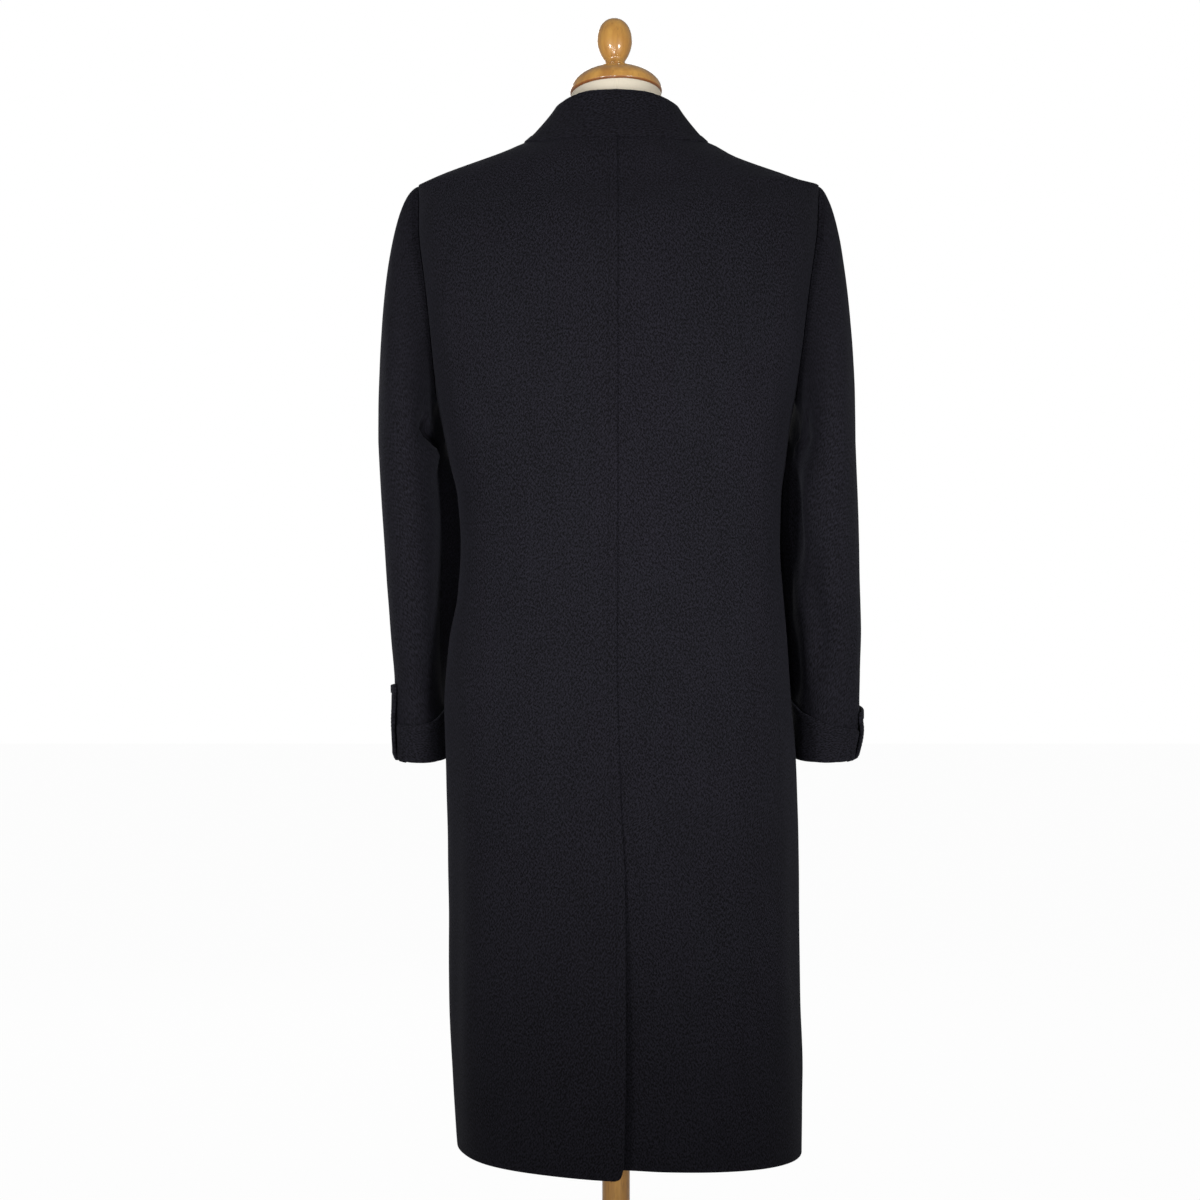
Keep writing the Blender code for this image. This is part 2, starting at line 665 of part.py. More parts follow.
def collar(material):
    """The collar: one folded wall round the neck, from notch to notch."""
    lines = []
    for k in range(COLLAR_STATIONS, 0, -1):
        lines.append(collar_line(1, k / COLLAR_STATIONS))
    for k in range(0, COLLAR_STATIONS + 1):
        lines.append(collar_line(-1 if k else 1, k / COLLAR_STATIONS))
    normals = grid_normals(lines)
    outer = [[p + n * CLOTH / 2 for p, n in zip(a, b)] for a, b in zip(lines, normals)]
    inner = [[p - n * CLOTH / 2 for p, n in zip(a, b)] for a, b in zip(lines, normals)]
    return closed_wall("collar", outer, inner, material)


# ---------------------------------------------------------------- turned pieces
def turned(name, profile, material, segments=32, smooth_angle=40):
    """A solid turned about Z from (radius, height) points, bottom to top, closed by discs."""
    bm = bmesh.new()
    rings = []
    for radius, height in profile:
        rings.append([bm.verts.new((radius * cos(2 * pi * k / segments),
                                    radius * sin(2 * pi * k / segments), height))
                      for k in range(segments)])
    for low, high in zip(rings, rings[1:]):
        for k in range(segments):
            n = (k + 1) % segments
            bm.faces.new((low[k], low[n], high[n], high[k]))
    bm.faces.new(rings[0][::-1])
    bm.faces.new(rings[-1])
    return new_object(name, bm, material, smooth_angle)


def arc(centre_radius, centre_height, radius, first, last, steps):
    """Points of a profile's rounded stretch, angles in degrees from outward to upward."""
    points = []
    for k in range(steps + 1):
        turn = radians(mix(first, last, k / steps))
        points.append((centre_radius + radius * cos(turn), centre_height + radius * sin(turn)))
    return points


def neck_cap(wood):
    """The domed wooden cap on the sloping neck, with the stem that carries the knob."""
    rim = 0.0535
    rise = 0.0288
    profile = [(rim - 0.004, 0.0003)]
    profile += arc(rim - 0.003, 0.0033, 0.003, -60, 20, 3)
    for degrees in (16, 29, 42, 55, 67):
        turn = radians(degrees)
        profile.append((rim * cos(turn), 0.0033 + rise * sin(turn)))
    profile += [(0.0140, 0.0325), (0.0119, 0.0348)]
    return turned("neck_cap", profile, wood, segments=28)


def finial(wood):
    """The egg-shaped knob, with a flat underside on the cap's stem."""
    low = 0.0351
    radius = 0.0200
    half_height = 0.0277
    middle = low + 0.0300
    steps = 9
    profile = [(0.0118, low), (0.0114, low + 0.0035)]
    for k in range(steps + 1):
        turn = radians(mix(-54, 84, k / steps))
        profile.append((radius * cos(turn), middle + half_height * sin(turn)))
    return turned("finial", profile, wood, segments=24)


def foot(wood):
    profile = arc(FOOT_RADIUS - 0.006, 0.006, 0.006, -90, 0, 3)
    profile += arc(FOOT_RADIUS - 0.012, FOOT_THICKNESS - 0.012, 0.012, 0, 80, 4)
    profile += [(0.060, FOOT_THICKNESS + 0.004), (0.040, FOOT_THICKNESS + 0.012),
                (0.030, FOOT_THICKNESS + 0.030), (0.027, FOOT_THICKNESS + 0.050)]
    return turned("foot", profile, wood, segments=40)


def pole(wood):
    low = FOOT_THICKNESS + 0.050 + SEAM_GAP
    return turned("pole", [(POLE_RADIUS, low), (POLE_RADIUS, BUST_BOTTOM - SEAM_GAP)], wood, 24)


# ---------------------------------------------------------------- the form
BUST_ROWS = (0.800, 0.806, 0.830, 0.870, 0.920, 0.984, 1.050, 1.120, 1.190, 1.260, 1.320,
             1.360, 1.380)
BUST_COLUMNS = 32
SLOPE_STEPS = 9
NECK_ROWS = (1.462, 1.470, 1.480, 1.492)


def bust_ring(height):
    """Half widths left and right, depths back and front, and squareness of the form."""
    if height < 1.388:
        row = [BUST.read(height, name) for name in ("half", "half", "back", "front", "square")]
        return row
    above = height + SHOULDER_DROP
    half_left = min(BODY.read(above, "left"), 0.2200)
    half_right = min(BODY.read(above, "right"), 0.2200)
    back = BODY.read(above, "back") - 0.0060
    front = BODY.read(above, "front") - 0.0060
    share = NECK_BLEND.read(height, "share")
    return [mix(half_left, NECK_RADIUS, share), mix(half_right, NECK_RADIUS, share),
            mix(back, NECK_RADIUS, share), mix(front, NECK_RADIUS, share),
            mix(BODY.read(above, "square"), 2.0, share)]


def bust_row(height, tilt=0.0, inset=0.0):
    left, right, back, front, square = bust_ring(height)
    row = []
    for k in range(BUST_COLUMNS):
        angle = 2 * pi * k / BUST_COLUMNS
        across = power(sin(angle), 2 / square)
        along = power(cos(angle), 2 / square)
        x = across * ((left if across >= 0 else right) - inset)
        y = along * ((back if along >= 0 else front) - inset)
        slope = y * tan(CAP_TILT) - x * tan(CAP_LEAN)
        row.append(Vector((x, y, height + slope * tilt)))
    return row


def bust(calico):
    """The calico-covered form: hips to neck, with a flat floor and a sloping flat neck."""
    rows = [bust_row(BUST_ROWS[0], inset=0.006)]
    rows += [bust_row(height) for height in BUST_ROWS[1:]]
    for k in range(SLOPE_STEPS + 1):
        rows.append(bust_row(mix(1.391, 1.454, k / SLOPE_STEPS)))
    rows += [bust_row(height, tilt=ease(height, 1.465, 1.495)) for height in NECK_ROWS]
    rows.append(bust_row(NECK_TOP, tilt=1.0))
    bm = bmesh.new()
    rings = [[bm.verts.new(p) for p in row] for row in rows]
    for low, high in zip(rings, rings[1:]):
        for k in range(BUST_COLUMNS):
            n = (k + 1) % BUST_COLUMNS
            bm.faces.new((low[n], low[k], high[k], high[n]))
    bm.faces.new(rings[0])
    bm.faces.new(rings[-1][::-1])
    return new_object("bust", bm, calico)


# ---------------------------------------------------------------- buttons
def buttons(horn):
    """Three flat buttons down the centre front, standing just off the left front."""
    for number, height in enumerate(BUTTON_HEIGHTS, 1):
        point = body_point(0.0, height, -1)
        normal = body_normal(point)
        rim = BUTTON_RADIUS
        profile = [(rim - 0.0015, 0.0), (rim, 0.0015), (rim, BUTTON_THICKNESS - 0.0015),
                   (rim - 0.0018, BUTTON_THICKNESS), (rim - 0.0050, BUTTON_THICKNESS - 0.0010)]
        thing = turned(f"button_{number}", profile, horn, segments=20)
        seat = point + normal * BUTTON_LIFT
        turn = normal.to_track_quat("Z", "Y").to_matrix().to_4x4()
        thing.matrix_world = Matrix.Translation(seat) @ turn


def paint(name, colour, roughness):
    material = bpy.data.materials.new(name)
    material.use_nodes = True
    shader = material.node_tree.nodes["Principled BSDF"]
    shader.inputs["Base Color"].default_value = (*colour, 1.0)
    shader.inputs["Roughness"].default_value = roughness
    return material


def main():
    for thing in list(bpy.data.objects):
        bpy.data.objects.remove(thing, do_unlink=True)
    cloth = paint("navy_wool", (0.0135, 0.0125, 0.0175), 0.9)
    calico = paint("cream_calico", (0.76, 0.68, 0.54), 0.85)
    wood = paint("honey_beech", (0.60, 0.32, 0.10), 0.3)
    horn = paint("dark_horn", (0.012, 0.010, 0.012), 0.35)
    body_panels(cloth)
    lapel("lapel_left", 1, 0.02, cloth)
    lapel("lapel_right", -1, 0.20, cloth)
    sleeves(cloth)
    collar(cloth)
    buttons(horn)
    bust(calico)
    up = Vector((tan(CAP_LEAN), -tan(CAP_TILT), 1.0))
    seat = Matrix.Translation((0, 0, NECK_TOP)) @ up.to_track_quat("Z", "Y").to_matrix().to_4x4()
    neck_cap(wood).matrix_world = seat
    finial(wood).matrix_world = seat
    pole(wood)
    foot(wood)


if __name__ == "__main__":
    main()
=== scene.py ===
"""A long wool overcoat and the tailor's form it hangs on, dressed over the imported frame.

Metres, +Z up. The coat's front faces -Y and its wearer's left is +X. Each cut piece of cloth is
a thin shell with rounded edges on the form of its own solid, with the folds it hangs in.
"""

from bisect import bisect_right
from collections import namedtuple
from math import asin, atan2, cos, exp, hypot, pi, radians, sin, sqrt, tan

import bpy
from bpy.props import FloatProperty, FloatVectorProperty, PointerProperty
from mathutils import Matrix, Vector, noise


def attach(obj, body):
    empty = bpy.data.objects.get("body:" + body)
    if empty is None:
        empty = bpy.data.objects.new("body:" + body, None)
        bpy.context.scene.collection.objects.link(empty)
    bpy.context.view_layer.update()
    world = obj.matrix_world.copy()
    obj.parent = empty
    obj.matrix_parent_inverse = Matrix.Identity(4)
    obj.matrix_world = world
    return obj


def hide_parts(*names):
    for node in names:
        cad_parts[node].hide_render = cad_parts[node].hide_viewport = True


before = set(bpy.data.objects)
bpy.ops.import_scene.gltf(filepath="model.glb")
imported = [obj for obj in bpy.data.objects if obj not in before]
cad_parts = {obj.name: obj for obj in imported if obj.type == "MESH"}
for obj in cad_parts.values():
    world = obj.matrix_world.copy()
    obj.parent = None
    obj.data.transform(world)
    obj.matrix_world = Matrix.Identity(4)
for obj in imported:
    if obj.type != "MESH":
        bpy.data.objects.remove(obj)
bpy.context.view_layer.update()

bl_info = {
    "name": "Wool Overcoat",
    "version": (1, 0, 0),
    "blender": (4, 5, 0),
    "location": "View3D > Sidebar > Overcoat",
    "description": "Builds a long wool overcoat on a tailor's form from its cut pieces",
    "category": "Add Mesh",
}

# ---------------------------------------------------------------- sizes shared with the solids
CLOTH = 0.0025            # wall of the lined coat cloth
SEAM_GAP = 0.0003         # between two pieces sewn together
LAP_CLEAR = 0.0006        # between a lap and the piece under it
LAPEL_LIFT = 0.0014       # from the front to a lapel's underside
LEAF_LIFT = 0.0021        # from the back to the underside of the collar's leaf, near its fold
STAND_CLEAR = 0.0015      # from the neck edge in to the middle of the collar's stand

# Heights. Where the sides differ, the wearer's left is 1 and right is -1.
HEM_SIDE = {1: 0.2885, -1: 0.2815}
HEM_BACK = {1: 0.2805, -1: 0.2925}
HEM_FRONT = 0.2850
SHOULDER_TIP = 1.3985
NECK_SIDE = 1.4575
NECK_BACK = 1.4520
BACK_DROP = 0.0055        # at the shoulder tip, a back's rows end this much lower at the centre
FRONT_DROP = 0.0175       # and a front's rows

VENT_TOP = 0.700
SEAM_LAP = 0.014          # how far the right back runs under the left above the vent
VENT_LAP = 0.045          # and in the vent
FRONT_LAP = 0.030         # how far each front runs past the centre line

BREAK_HEIGHT = 1.170      # the lapels' roll line starts here
GORGE_HEIGHT = 1.425      # and ends here,
ROLL_TOP_X = 0.0605       # this far from the centre line

ARMHOLE_BOTTOM = 1.148
ARMHOLE_BACK = 0.062
ARMHOLE_NARROWING = 0.52  # share by which its back narrows towards the shoulder tip
ARMHOLE_FRONT = 0.070

CAP_TILT = radians(10.8)  # slope of the form's neck, up towards the back
CAP_LEAN = radians(1.5)   # and sideways
NECK_TOP = 1.505
NECK_RADIUS = 0.0524
POLE_RADIUS = 0.016
FOOT_RADIUS = 0.200
FOOT_THICKNESS = 0.026
BUST_BOTTOM = 0.800
SHOULDER_DROP = 0.0036    # from the coat's shoulder down to the form's


class Table:
    """Named columns against a first column, read by smooth monotone interpolation."""

    def __init__(self, columns, *rows):
        self.names = columns.split()
        self.keys = [row[0] for row in rows]
        self.rows = rows

    def slope(self, index, column):
        rows = self.rows
        if index in (0, len(rows) - 1):
            near = 1 if index == 0 else len(rows) - 2
            return (rows[near][column] - rows[index][column]) / (rows[near][0] - rows[index][0])
        below, here, above = rows[index - 1:index + 2]
        low = (here[column] - below[column]) / (here[0] - below[0])
        high = (above[column] - here[column]) / (above[0] - here[0])
        return 0.0 if low * high <= 0 else 2 * low * high / (low + high)

    def read(self, key, name):
        column = self.names.index(name)
        rows = self.rows
        key = min(max(key, rows[0][0]), rows[-1][0])
        index = min(bisect_right(self.keys, key) - 1, len(rows) - 2)
        start, end = rows[index:index + 2]
        span = end[0] - start[0]
        t = (key - start[0]) / span
        return ((1 + 2 * t) * (1 - t) ** 2 * start[column]
                + t * (1 - t) ** 2 * span * self.slope(index, column)
                + t * t * (3 - 2 * t) * end[column]
                + t * t * (t - 1) * span * self.slope(index + 1, column))


# Rings of the coat's body, hem to neck: half widths to the wearer's left and right, depths
# behind and before the shoulder line, and how square the ring is (2 is an ellipse).
BODY = Table(
    "height left right back front square",
    (0.270, 0.1800, 0.2150, 0.166, 0.172, 2.30),
    (0.300, 0.1835, 0.2150, 0.165, 0.171, 2.30),
    (0.370, 0.1880, 0.2150, 0.163, 0.169, 2.30),
    (0.455, 0.1914, 0.2122, 0.160, 0.166, 2.30),
    (0.629, 0.1930, 0.2105, 0.152, 0.158, 2.30),
    (0.740, 0.1960, 0.2076, 0.146, 0.150, 2.30),
    (0.803, 0.1980, 0.2025, 0.141, 0.143, 2.35),
    (0.870, 0.1937, 0.1982, 0.135, 0.136, 2.40),
    (0.926, 0.1838, 0.1930, 0.128, 0.130, 2.40),
    (0.984, 0.1800, 0.1895, 0.121, 0.126, 2.40),
    (1.036, 0.1833, 0.1915, 0.119, 0.127, 2.40),
    (1.084, 0.1945, 0.1975, 0.123, 0.131, 2.45),
    (1.122, 0.2018, 0.2020, 0.128, 0.135, 2.50),
    (1.160, 0.2090, 0.2090, 0.133, 0.137, 2.60),
    (1.220, 0.2165, 0.2185, 0.138, 0.136, 2.80),
    (1.290, 0.2235, 0.2265, 0.137, 0.129, 2.80),
    (1.350, 0.2290, 0.2335, 0.128, 0.116, 2.60),
    (1.3985, 0.2290, 0.2350, 0.096, 0.093, 2.20),
    (1.402, 0.2215, 0.2190, 0.095, 0.091, 2.20),
    (1.410, 0.2030, 0.1960, 0.093, 0.087, 2.22),
    (1.420, 0.1750, 0.1655, 0.091, 0.082, 2.25),
    (1.430, 0.1460, 0.1385, 0.088, 0.076, 2.25),
    (1.440, 0.1185, 0.1190, 0.082, 0.070, 2.20),
    (1.450, 0.0980, 0.0980, 0.078, 0.066, 2.20),
    (1.460, 0.0840, 0.0840, 0.074, 0.063, 2.20),
)

# The overlapping edge of the left back panel, as x against height.
BACK_EDGE = Table(
    "height x",
    (0.280, -0.0045), (0.300, -0.0075), (0.360, -0.0090), (0.450, -0.0098), (0.600, -0.0090),
    (0.700, -0.0040), (0.760, -0.0023), (0.850, 0.0000), (1.000, -0.0010), (1.460, -0.0010),
)

# Sleeves below the biceps: inner and outer edge from the coat's centre line, the section's
# centre fore and aft, its half breadth fore and aft, and how far its inner front bulges
# towards the body.
SLEEVE = {
    1: Table(
        "height inner outer centre breadth fill",
        (0.720, 0.1975, 0.2600, -0.058, 0.058, 0.0000),
        (0.772, 0.1995, 0.2600, -0.052, 0.060, 0.0000),
        (0.820, 0.2050, 0.2595, -0.044, 0.062, 0.0080),
        (0.870, 0.2060, 0.2625, -0.033, 0.066, 0.0240),
        (0.942, 0.2046, 0.2665, -0.016, 0.073, 0.0325),
        (1.000, 0.2035, 0.2700, -0.006, 0.079, 0.0350),
        (1.050, 0.2060, 0.2728, -0.001, 0.084, 0.0335),
        (1.100, 0.2110, 0.2745, 0.001, 0.088, 0.0200),
    ),
    -1: Table(
        "height inner outer centre breadth fill",
        (0.720, 0.2090, 0.2800, -0.056, 0.053, 0.0000),
        (0.745, 0.2095, 0.2835, -0.053, 0.053, 0.0000),
        (0.772, 0.2100, 0.2872, -0.050, 0.054, 0.0000),
        (0.810, 0.2100, 0.2862, -0.045, 0.056, 0.0030),
        (0.870, 0.2080, 0.2865, -0.033, 0.062, 0.0210),
        (0.942, 0.2055, 0.2838, -0.016, 0.070, 0.0245),
        (1.000, 0.2050, 0.2815, -0.006, 0.077, 0.0270),
        (1.050, 0.2080, 0.2790, -0.001, 0.083, 0.0270),
        (1.100, 0.2130, 0.2765, 0.001, 0.088, 0.0180),
    ),
}
SLEEVE_JOIN = 1.100       # where the sleeve head meets the plain tube
SLEEVE_END = 0.7370
SLEEVE_DROOP = 0.0040     # the cuff hangs lower at the back
HIND_SEAM = {1: (radians(60), radians(44)), -1: (radians(60), radians(34))}
FORE_SEAM = (radians(240), radians(232))

# Upper edge of the turned-back cuffs, as height against the turn from the slit.
CUFF_TOP = {
    1: Table("turn height", (0.00, 0.774), (0.16, 0.776), (0.30, 0.790), (0.42, 0.802),
             (0.60, 0.810), (0.80, 0.817), (1.00, 0.822)),
    -1: Table("turn height", (0.00, 0.767), (0.12, 0.772), (0.26, 0.786), (0.42, 0.802),
              (0.62, 0.803), (0.82, 0.796), (1.00, 0.787)),
}
SLEEVE_CROWN = {1: 0.030, -1: 0.021}     # how far the sleeve head swells out at its top
CUFF_SLIT = 0.004
CUFF_RADIUS = 0.045       # mean, where the slit's width becomes a turn
CUFF_LIFT = 0.0012

# The collar, centre back to the notch: the place on the neck edge where its stand is sewn on
# (0 centre back, 1 shoulder, 2 roll line), its fold, and x and height of its leaf's edge.
COLLAR = Table(
    "station neck fold_x fold_y fold_z edge_x edge_z",
    (0.00, 0.000, 0.0000, 0.0660, 1.4993, 0.0000, 1.4430),
    (0.14, 0.223, 0.0290, 0.0600, 1.4988, 0.0330, 1.4430),
    (0.26, 0.444, 0.0480, 0.0490, 1.4955, 0.0600, 1.4422),
    (0.37, 0.645, 0.0615, 0.0335, 1.4910, 0.0820, 1.4407),
    (0.47, 0.790, 0.0680, 0.0195, 1.4875, 0.0965, 1.4420),
    (0.56, 0.910, 0.0708, 0.0070, 1.4840, 0.1035, 1.4445),
    (0.66, 1.060, 0.0718, -0.0080, 1.4790, 0.1068, 1.4460),
    (0.76, 1.260, 0.0712, -0.0260, 1.4710, 0.1095, 1.4425),
    (0.88, 1.600, 0.0655, -0.0520, 1.4545, 0.1140, 1.4280),
    (1.00, 1.930, 0.0595, -0.0725, 1.4345, 0.1120, 1.4090),
)
COLLAR_SHOULDER = 0.66    # the station on top of the shoulder
COLLAR_SPREAD = {1: 0.0, -1: 0.0028}     # its fold stands wider on the right shoulder
COLLAR_FOLD_RADIUS = 0.0021

# Outer edge of a lapel, roll line end first: x and height against the way up it.
LAPEL = Table(
    "way x height",
    (0.00, -0.0240, 1.176), (0.12, 0.0040, 1.200), (0.35, 0.0480, 1.260),
    (0.65, 0.0960, 1.330), (1.00, 0.1330, 1.385),
)

BUTTON_HEIGHTS = (1.135, 1.005, 0.875)
BUTTON_RADIUS = 0.0140
BUTTON_THICKNESS = 0.0045
BUTTON_LIFT = 0.0005

# Rings of the form under the coat.
BUST = Table(
    "height half back front square",
    (0.800, 0.150, 0.104, 0.098, 2.20),
    (0.850, 0.158, 0.111, 0.103, 2.20),
    (0.900, 0.156, 0.108, 0.102, 2.20),
    (0.984, 0.142, 0.092, 0.096, 2.20),
    (1.060, 0.152, 0.096, 0.104, 2.25),
    (1.140, 0.170, 0.108, 0.114, 2.30),
    (1.220, 0.188, 0.118, 0.117, 2.40),
    (1.300, 0.200, 0.119, 0.110, 2.40),
    (1.360, 0.210, 0.110, 0.098, 2.40),
    (1.388, 0.2180, 0.0925, 0.0820, 2.18),
)
# From the shoulder slope into the neck, as a share of the way between the two.
NECK_BLEND = Table("height share", (1.444, 0.0), (1.456, 0.42), (1.466, 0.80), (1.480, 1.0))


def mix(start, end, share):
    return start + (end - start) * share


def ease(value, low, high):
    """0 below low, 1 above high and smooth between; low may be the larger."""
    t = min(max((value - low) / (high - low), 0.0), 1.0)
    return t * t * (3 - 2 * t)


# ---------------------------------------------------------------- the coat's body surface
def power(value, exponent):
    return abs(value) ** exponent * (1 if value >= 0 else -1)


def ring(x, height, face):
    """Half width, depth and squareness of the body's ring on this side and face."""
    half = BODY.read(height, "left" if x >= 0 else "right")
    depth = BODY.read(height, "back" if face > 0 else "front")
    return half, depth, BODY.read(height, "square")


def body_point(x, height, face):
    """The body's surface at x and height, on its back (face 1) or its front (face -1)."""
    half, depth, square = ring(x, height, face)
    share = min(abs(x) / half, 1.0)
    return Vector((x, face * depth * (1 - share ** square) ** (1 / square), height))


def body_x(y, height, side):
    """How far out the body lies at y and height, to one side."""
    half, depth, square = ring(side, height, 1 if y >= 0 else -1)
    share = min(abs(y) / depth, 1.0)
    return side * half * (1 - share ** square) ** (1 / square)


def body_normal(point):
    """The surface's normal, as the gradient of the rings' own equation."""
    def level(x, y, z):
        half, depth, square = ring(x, z, 1 if y >= 0 else -1)
        return (abs(x) / half) ** square + (abs(y) / depth) ** square

    x, y, z = point
    half, depth, square = ring(x, z, 1 if y >= 0 else -1)
    step = 0.0005
    return Vector((power(x / half, square - 1) * square / half,
                   power(y / depth, square - 1) * square / depth,
                   (level(x, y, z + step) - level(x, y, z - step)) / (2 * step))).normalized()


def on_body(x, height, face, lift):
    point = body_point(x, height, face)
    return point + body_normal(point) * lift


def raised(point, lift):
    """The point, moved out where it lies less than the lift above the body."""
    if point.z > NECK_SIDE + 0.0030:
        return point
    half, depth, square = ring(point.x, point.z, 1 if point.y >= 0 else -1)
    scale = ((abs(point.x) / half) ** square + (abs(point.y) / depth) ** square) ** (1 / square)
    surface = Vector((point.x / scale, point.y / scale, point.z))
    normal = body_normal(surface)
    height = (point - surface).dot(normal)
    return point + normal * max(lift - height, 0.0)


def roll_x(height):
    """The lapels' roll line: how far the front's edge lies to its own side."""
    return mix(-FRONT_LAP, ROLL_TOP_X, (height - BREAK_HEIGHT) / (GORGE_HEIGHT - BREAK_HEIGHT))


def front_edge_x(height):
    return max(roll_x(height), -FRONT_LAP)


def armhole_point(side, turn):
    """The armhole's edge; the turn runs from the shoulder tip over the back."""
    middle = (SHOULDER_TIP + ARMHOLE_BOTTOM) / 2
    height = middle + (SHOULDER_TIP - ARMHOLE_BOTTOM) / 2 * cos(turn)
    back = ARMHOLE_BACK * (1 - ARMHOLE_NARROWING * (1 + cos(turn)) / 2)
    y = sin(turn) * (back if sin(turn) >= 0 else ARMHOLE_FRONT)
    return Vector((body_x(y, height, side), y, height))


# ---------------------------------------------------------------- cloth shells
EDGE_ROUND = 0.0013       # how far in from a folded edge its rounding reaches
SEAM_ROUND = 0.0002       # and from a pressed seam
EDGE_STOPS = (0.0, 0.0002, 0.0006, 0.0013, 0.0026)   # first rows or columns in from an edge
PLAIN_STOP = 0.0050       # the next one where the edge isn't stitched
STITCH_STOPS = (-0.0032, -0.0018, -0.0009, -0.0004, 0.0, 0.0004, 0.0009, 0.0018, 0.0036)
STITCH_MARGIN = 0.0105    # from a stitched edge in to its stitches
STITCH_LIFT = 0.00008     # the thread's middle, above the cloth
SWELL = 0.0009            # a stitched edge stands this much fuller than the plain cloth
SWELL_FALL = 0.0032       # the fullness fades over this width at the stitch line
STITCH_DIP = 0.0006       # the stitches draw the cloth in by this much
STITCH_DIP_WIDTH = 0.0011

Near = namedtuple("Near", "start end bottom top")
Cut = namedtuple("Cut", "piece outer normals")


def lengths(points):
    """Distance of each point of a polyline from its first point."""
    total = [0.0]
    for before, after in zip(points, points[1:]):
        total.append(total[-1] + (after - before).length)
    return total


def resampled(points, stops):
    """Points of a polyline at rising distances along it."""
    total = lengths(points)
    index = 0
    found = []
    for stop in stops:
        while index < len(points) - 2 and total[index + 1] < stop:
            index += 1
        share = (stop - total[index]) / (total[index + 1] - total[index])
        found.append(points[index].lerp(points[index + 1], share))
    return found


def edge_stops(margin):
    """Distances in from an edge, close together at its rounding and at its stitch line."""
    if margin == 0:
        return [*EDGE_STOPS, PLAIN_STOP]
    return [*EDGE_STOPS, margin * 0.5, *(margin + d for d in STITCH_STOPS)]


def stops_along(length, count, start_margin=0.0, end_margin=0.0):
    """Distances along a length: its two edges' own, and even ones between them."""
    before = edge_stops(start_margin)
    after = edge_stops(end_margin)
    first = before[-1]
    last = length - after[-1]
    middle = [mix(first, last, k / count) for k in range(1, count)]
    return [*before, *middle, *(length - d for d in reversed(after))]


def evened(lines, count, start_margin=0.0, end_margin=0.0, trim=0.0):
    """Polylines resampled to the same columns; trim shortens each at its far end."""
    grid = []
    for line in lines:
        length = lengths(line)[-1] - trim
        grid.append(resampled(line, stops_along(length, count, start_margin, end_margin)))
    return grid


def grid_normals(grid, facing=1):
    """Normals of a grid of points, from the neighbours of each."""
    rows = len(grid)
    columns = len(grid[0])
    normals = []
    for r in range(rows):
        line = []
        for c in range(columns):
            across = grid[r][min(c + 1, columns - 1)] - grid[r][max(c - 1, 0)]
            up = grid[min(r + 1, rows - 1)][c] - grid[max(r - 1, 0)][c]
            line.append(across.cross(up).normalized() * facing)
        normals.append(line)
    return normals


def distances(grid):
    """Each point's distance to the four edges, measured along its own row and column."""
    rows = len(grid)
    columns = len(grid[0])
    along = [lengths(row) for row in grid]
    up = [lengths([grid[r][c] for r in range(rows)]) for c in range(columns)]
    return [[Near(along[r][c], along[r][-1] - along[r][c], up[c][r], up[c][-1] - up[c][r])
             for c in range(columns)] for r in range(rows)]


def swelled(distance, margin):
    """How full a stitched edge is: raised out to its stitch line, which lies in a groove."""
    raised = SWELL * ease(distance, margin + SWELL_FALL / 2, margin - SWELL_FALL / 2)
    return raised - STITCH_DIP * exp(-((distance - margin) / STITCH_DIP_WIDTH) ** 2)


def rounded(near, rounds):
    """Share of half the wall that the rounding of its edges takes off at this place."""
    share = min(distance / reach for distance, reach in zip(near, rounds))
    if share >= 1:
        return 0.0
    return 1 - sqrt(max(1 - (1 - share) ** 2, 0.0))


def soft_corner(grid, radius, from_end, from_top):
    """Round one corner of a grid of points by drawing its two edges into an arc."""
    near = distances(grid)
    moved = [list(row) for row in grid]
    for r, row in enumerate(grid):
        for c, point in enumerate(row):
            here = near[r][c]
            along = here.end if from_end else here.start
            up = here.top if from_top else here.bottom
            if along >= radius or up >= radius:
                continue
            u = 1 - along / radius
            v = 1 - up / radius
            inward = 1 if not from_end else -1
            other = row[min(max(c + inward, 0), len(row) - 1)]
            beyond = row[min(max(c + 2 * inward, 0), len(row) - 1)]
            across = (beyond - other).normalized()
            rise = 1 if not from_top else -1
            low = grid[min(max(r + rise, 0), len(grid) - 1)][c]
            high = grid[min(max(r + 2 * rise, 0), len(grid) - 1)][c]
            climb = (high - low).normalized()
            shift_u = radius * u * (1 - sqrt(1 - v * v / 2))
            shift_v = radius * v * (1 - sqrt(1 - u * u / 2))
            moved[r][c] = point + across * shift_u + climb * shift_v
    return moved


def new_piece(name, vertices, faces, material, charts=None):
    """A smooth mesh object at the origin; charts are its points' places on the flat cloth."""
    mesh = bpy.data.meshes.new(name)
    mesh.from_pydata(vertices, [], faces)
    mesh.shade_smooth()
    if charts:
        layer = mesh.uv_layers.new(name="cloth")
        for loop in mesh.loops:
            layer.uv[loop.index].vector = charts[loop.vertex_index]
    mesh.materials.append(material)
    piece = bpy.data.objects.new(name, mesh)
    bpy.context.scene.collection.objects.link(piece)
    return piece


FOLDED = (EDGE_ROUND, EDGE_ROUND, EDGE_ROUND, EDGE_ROUND)


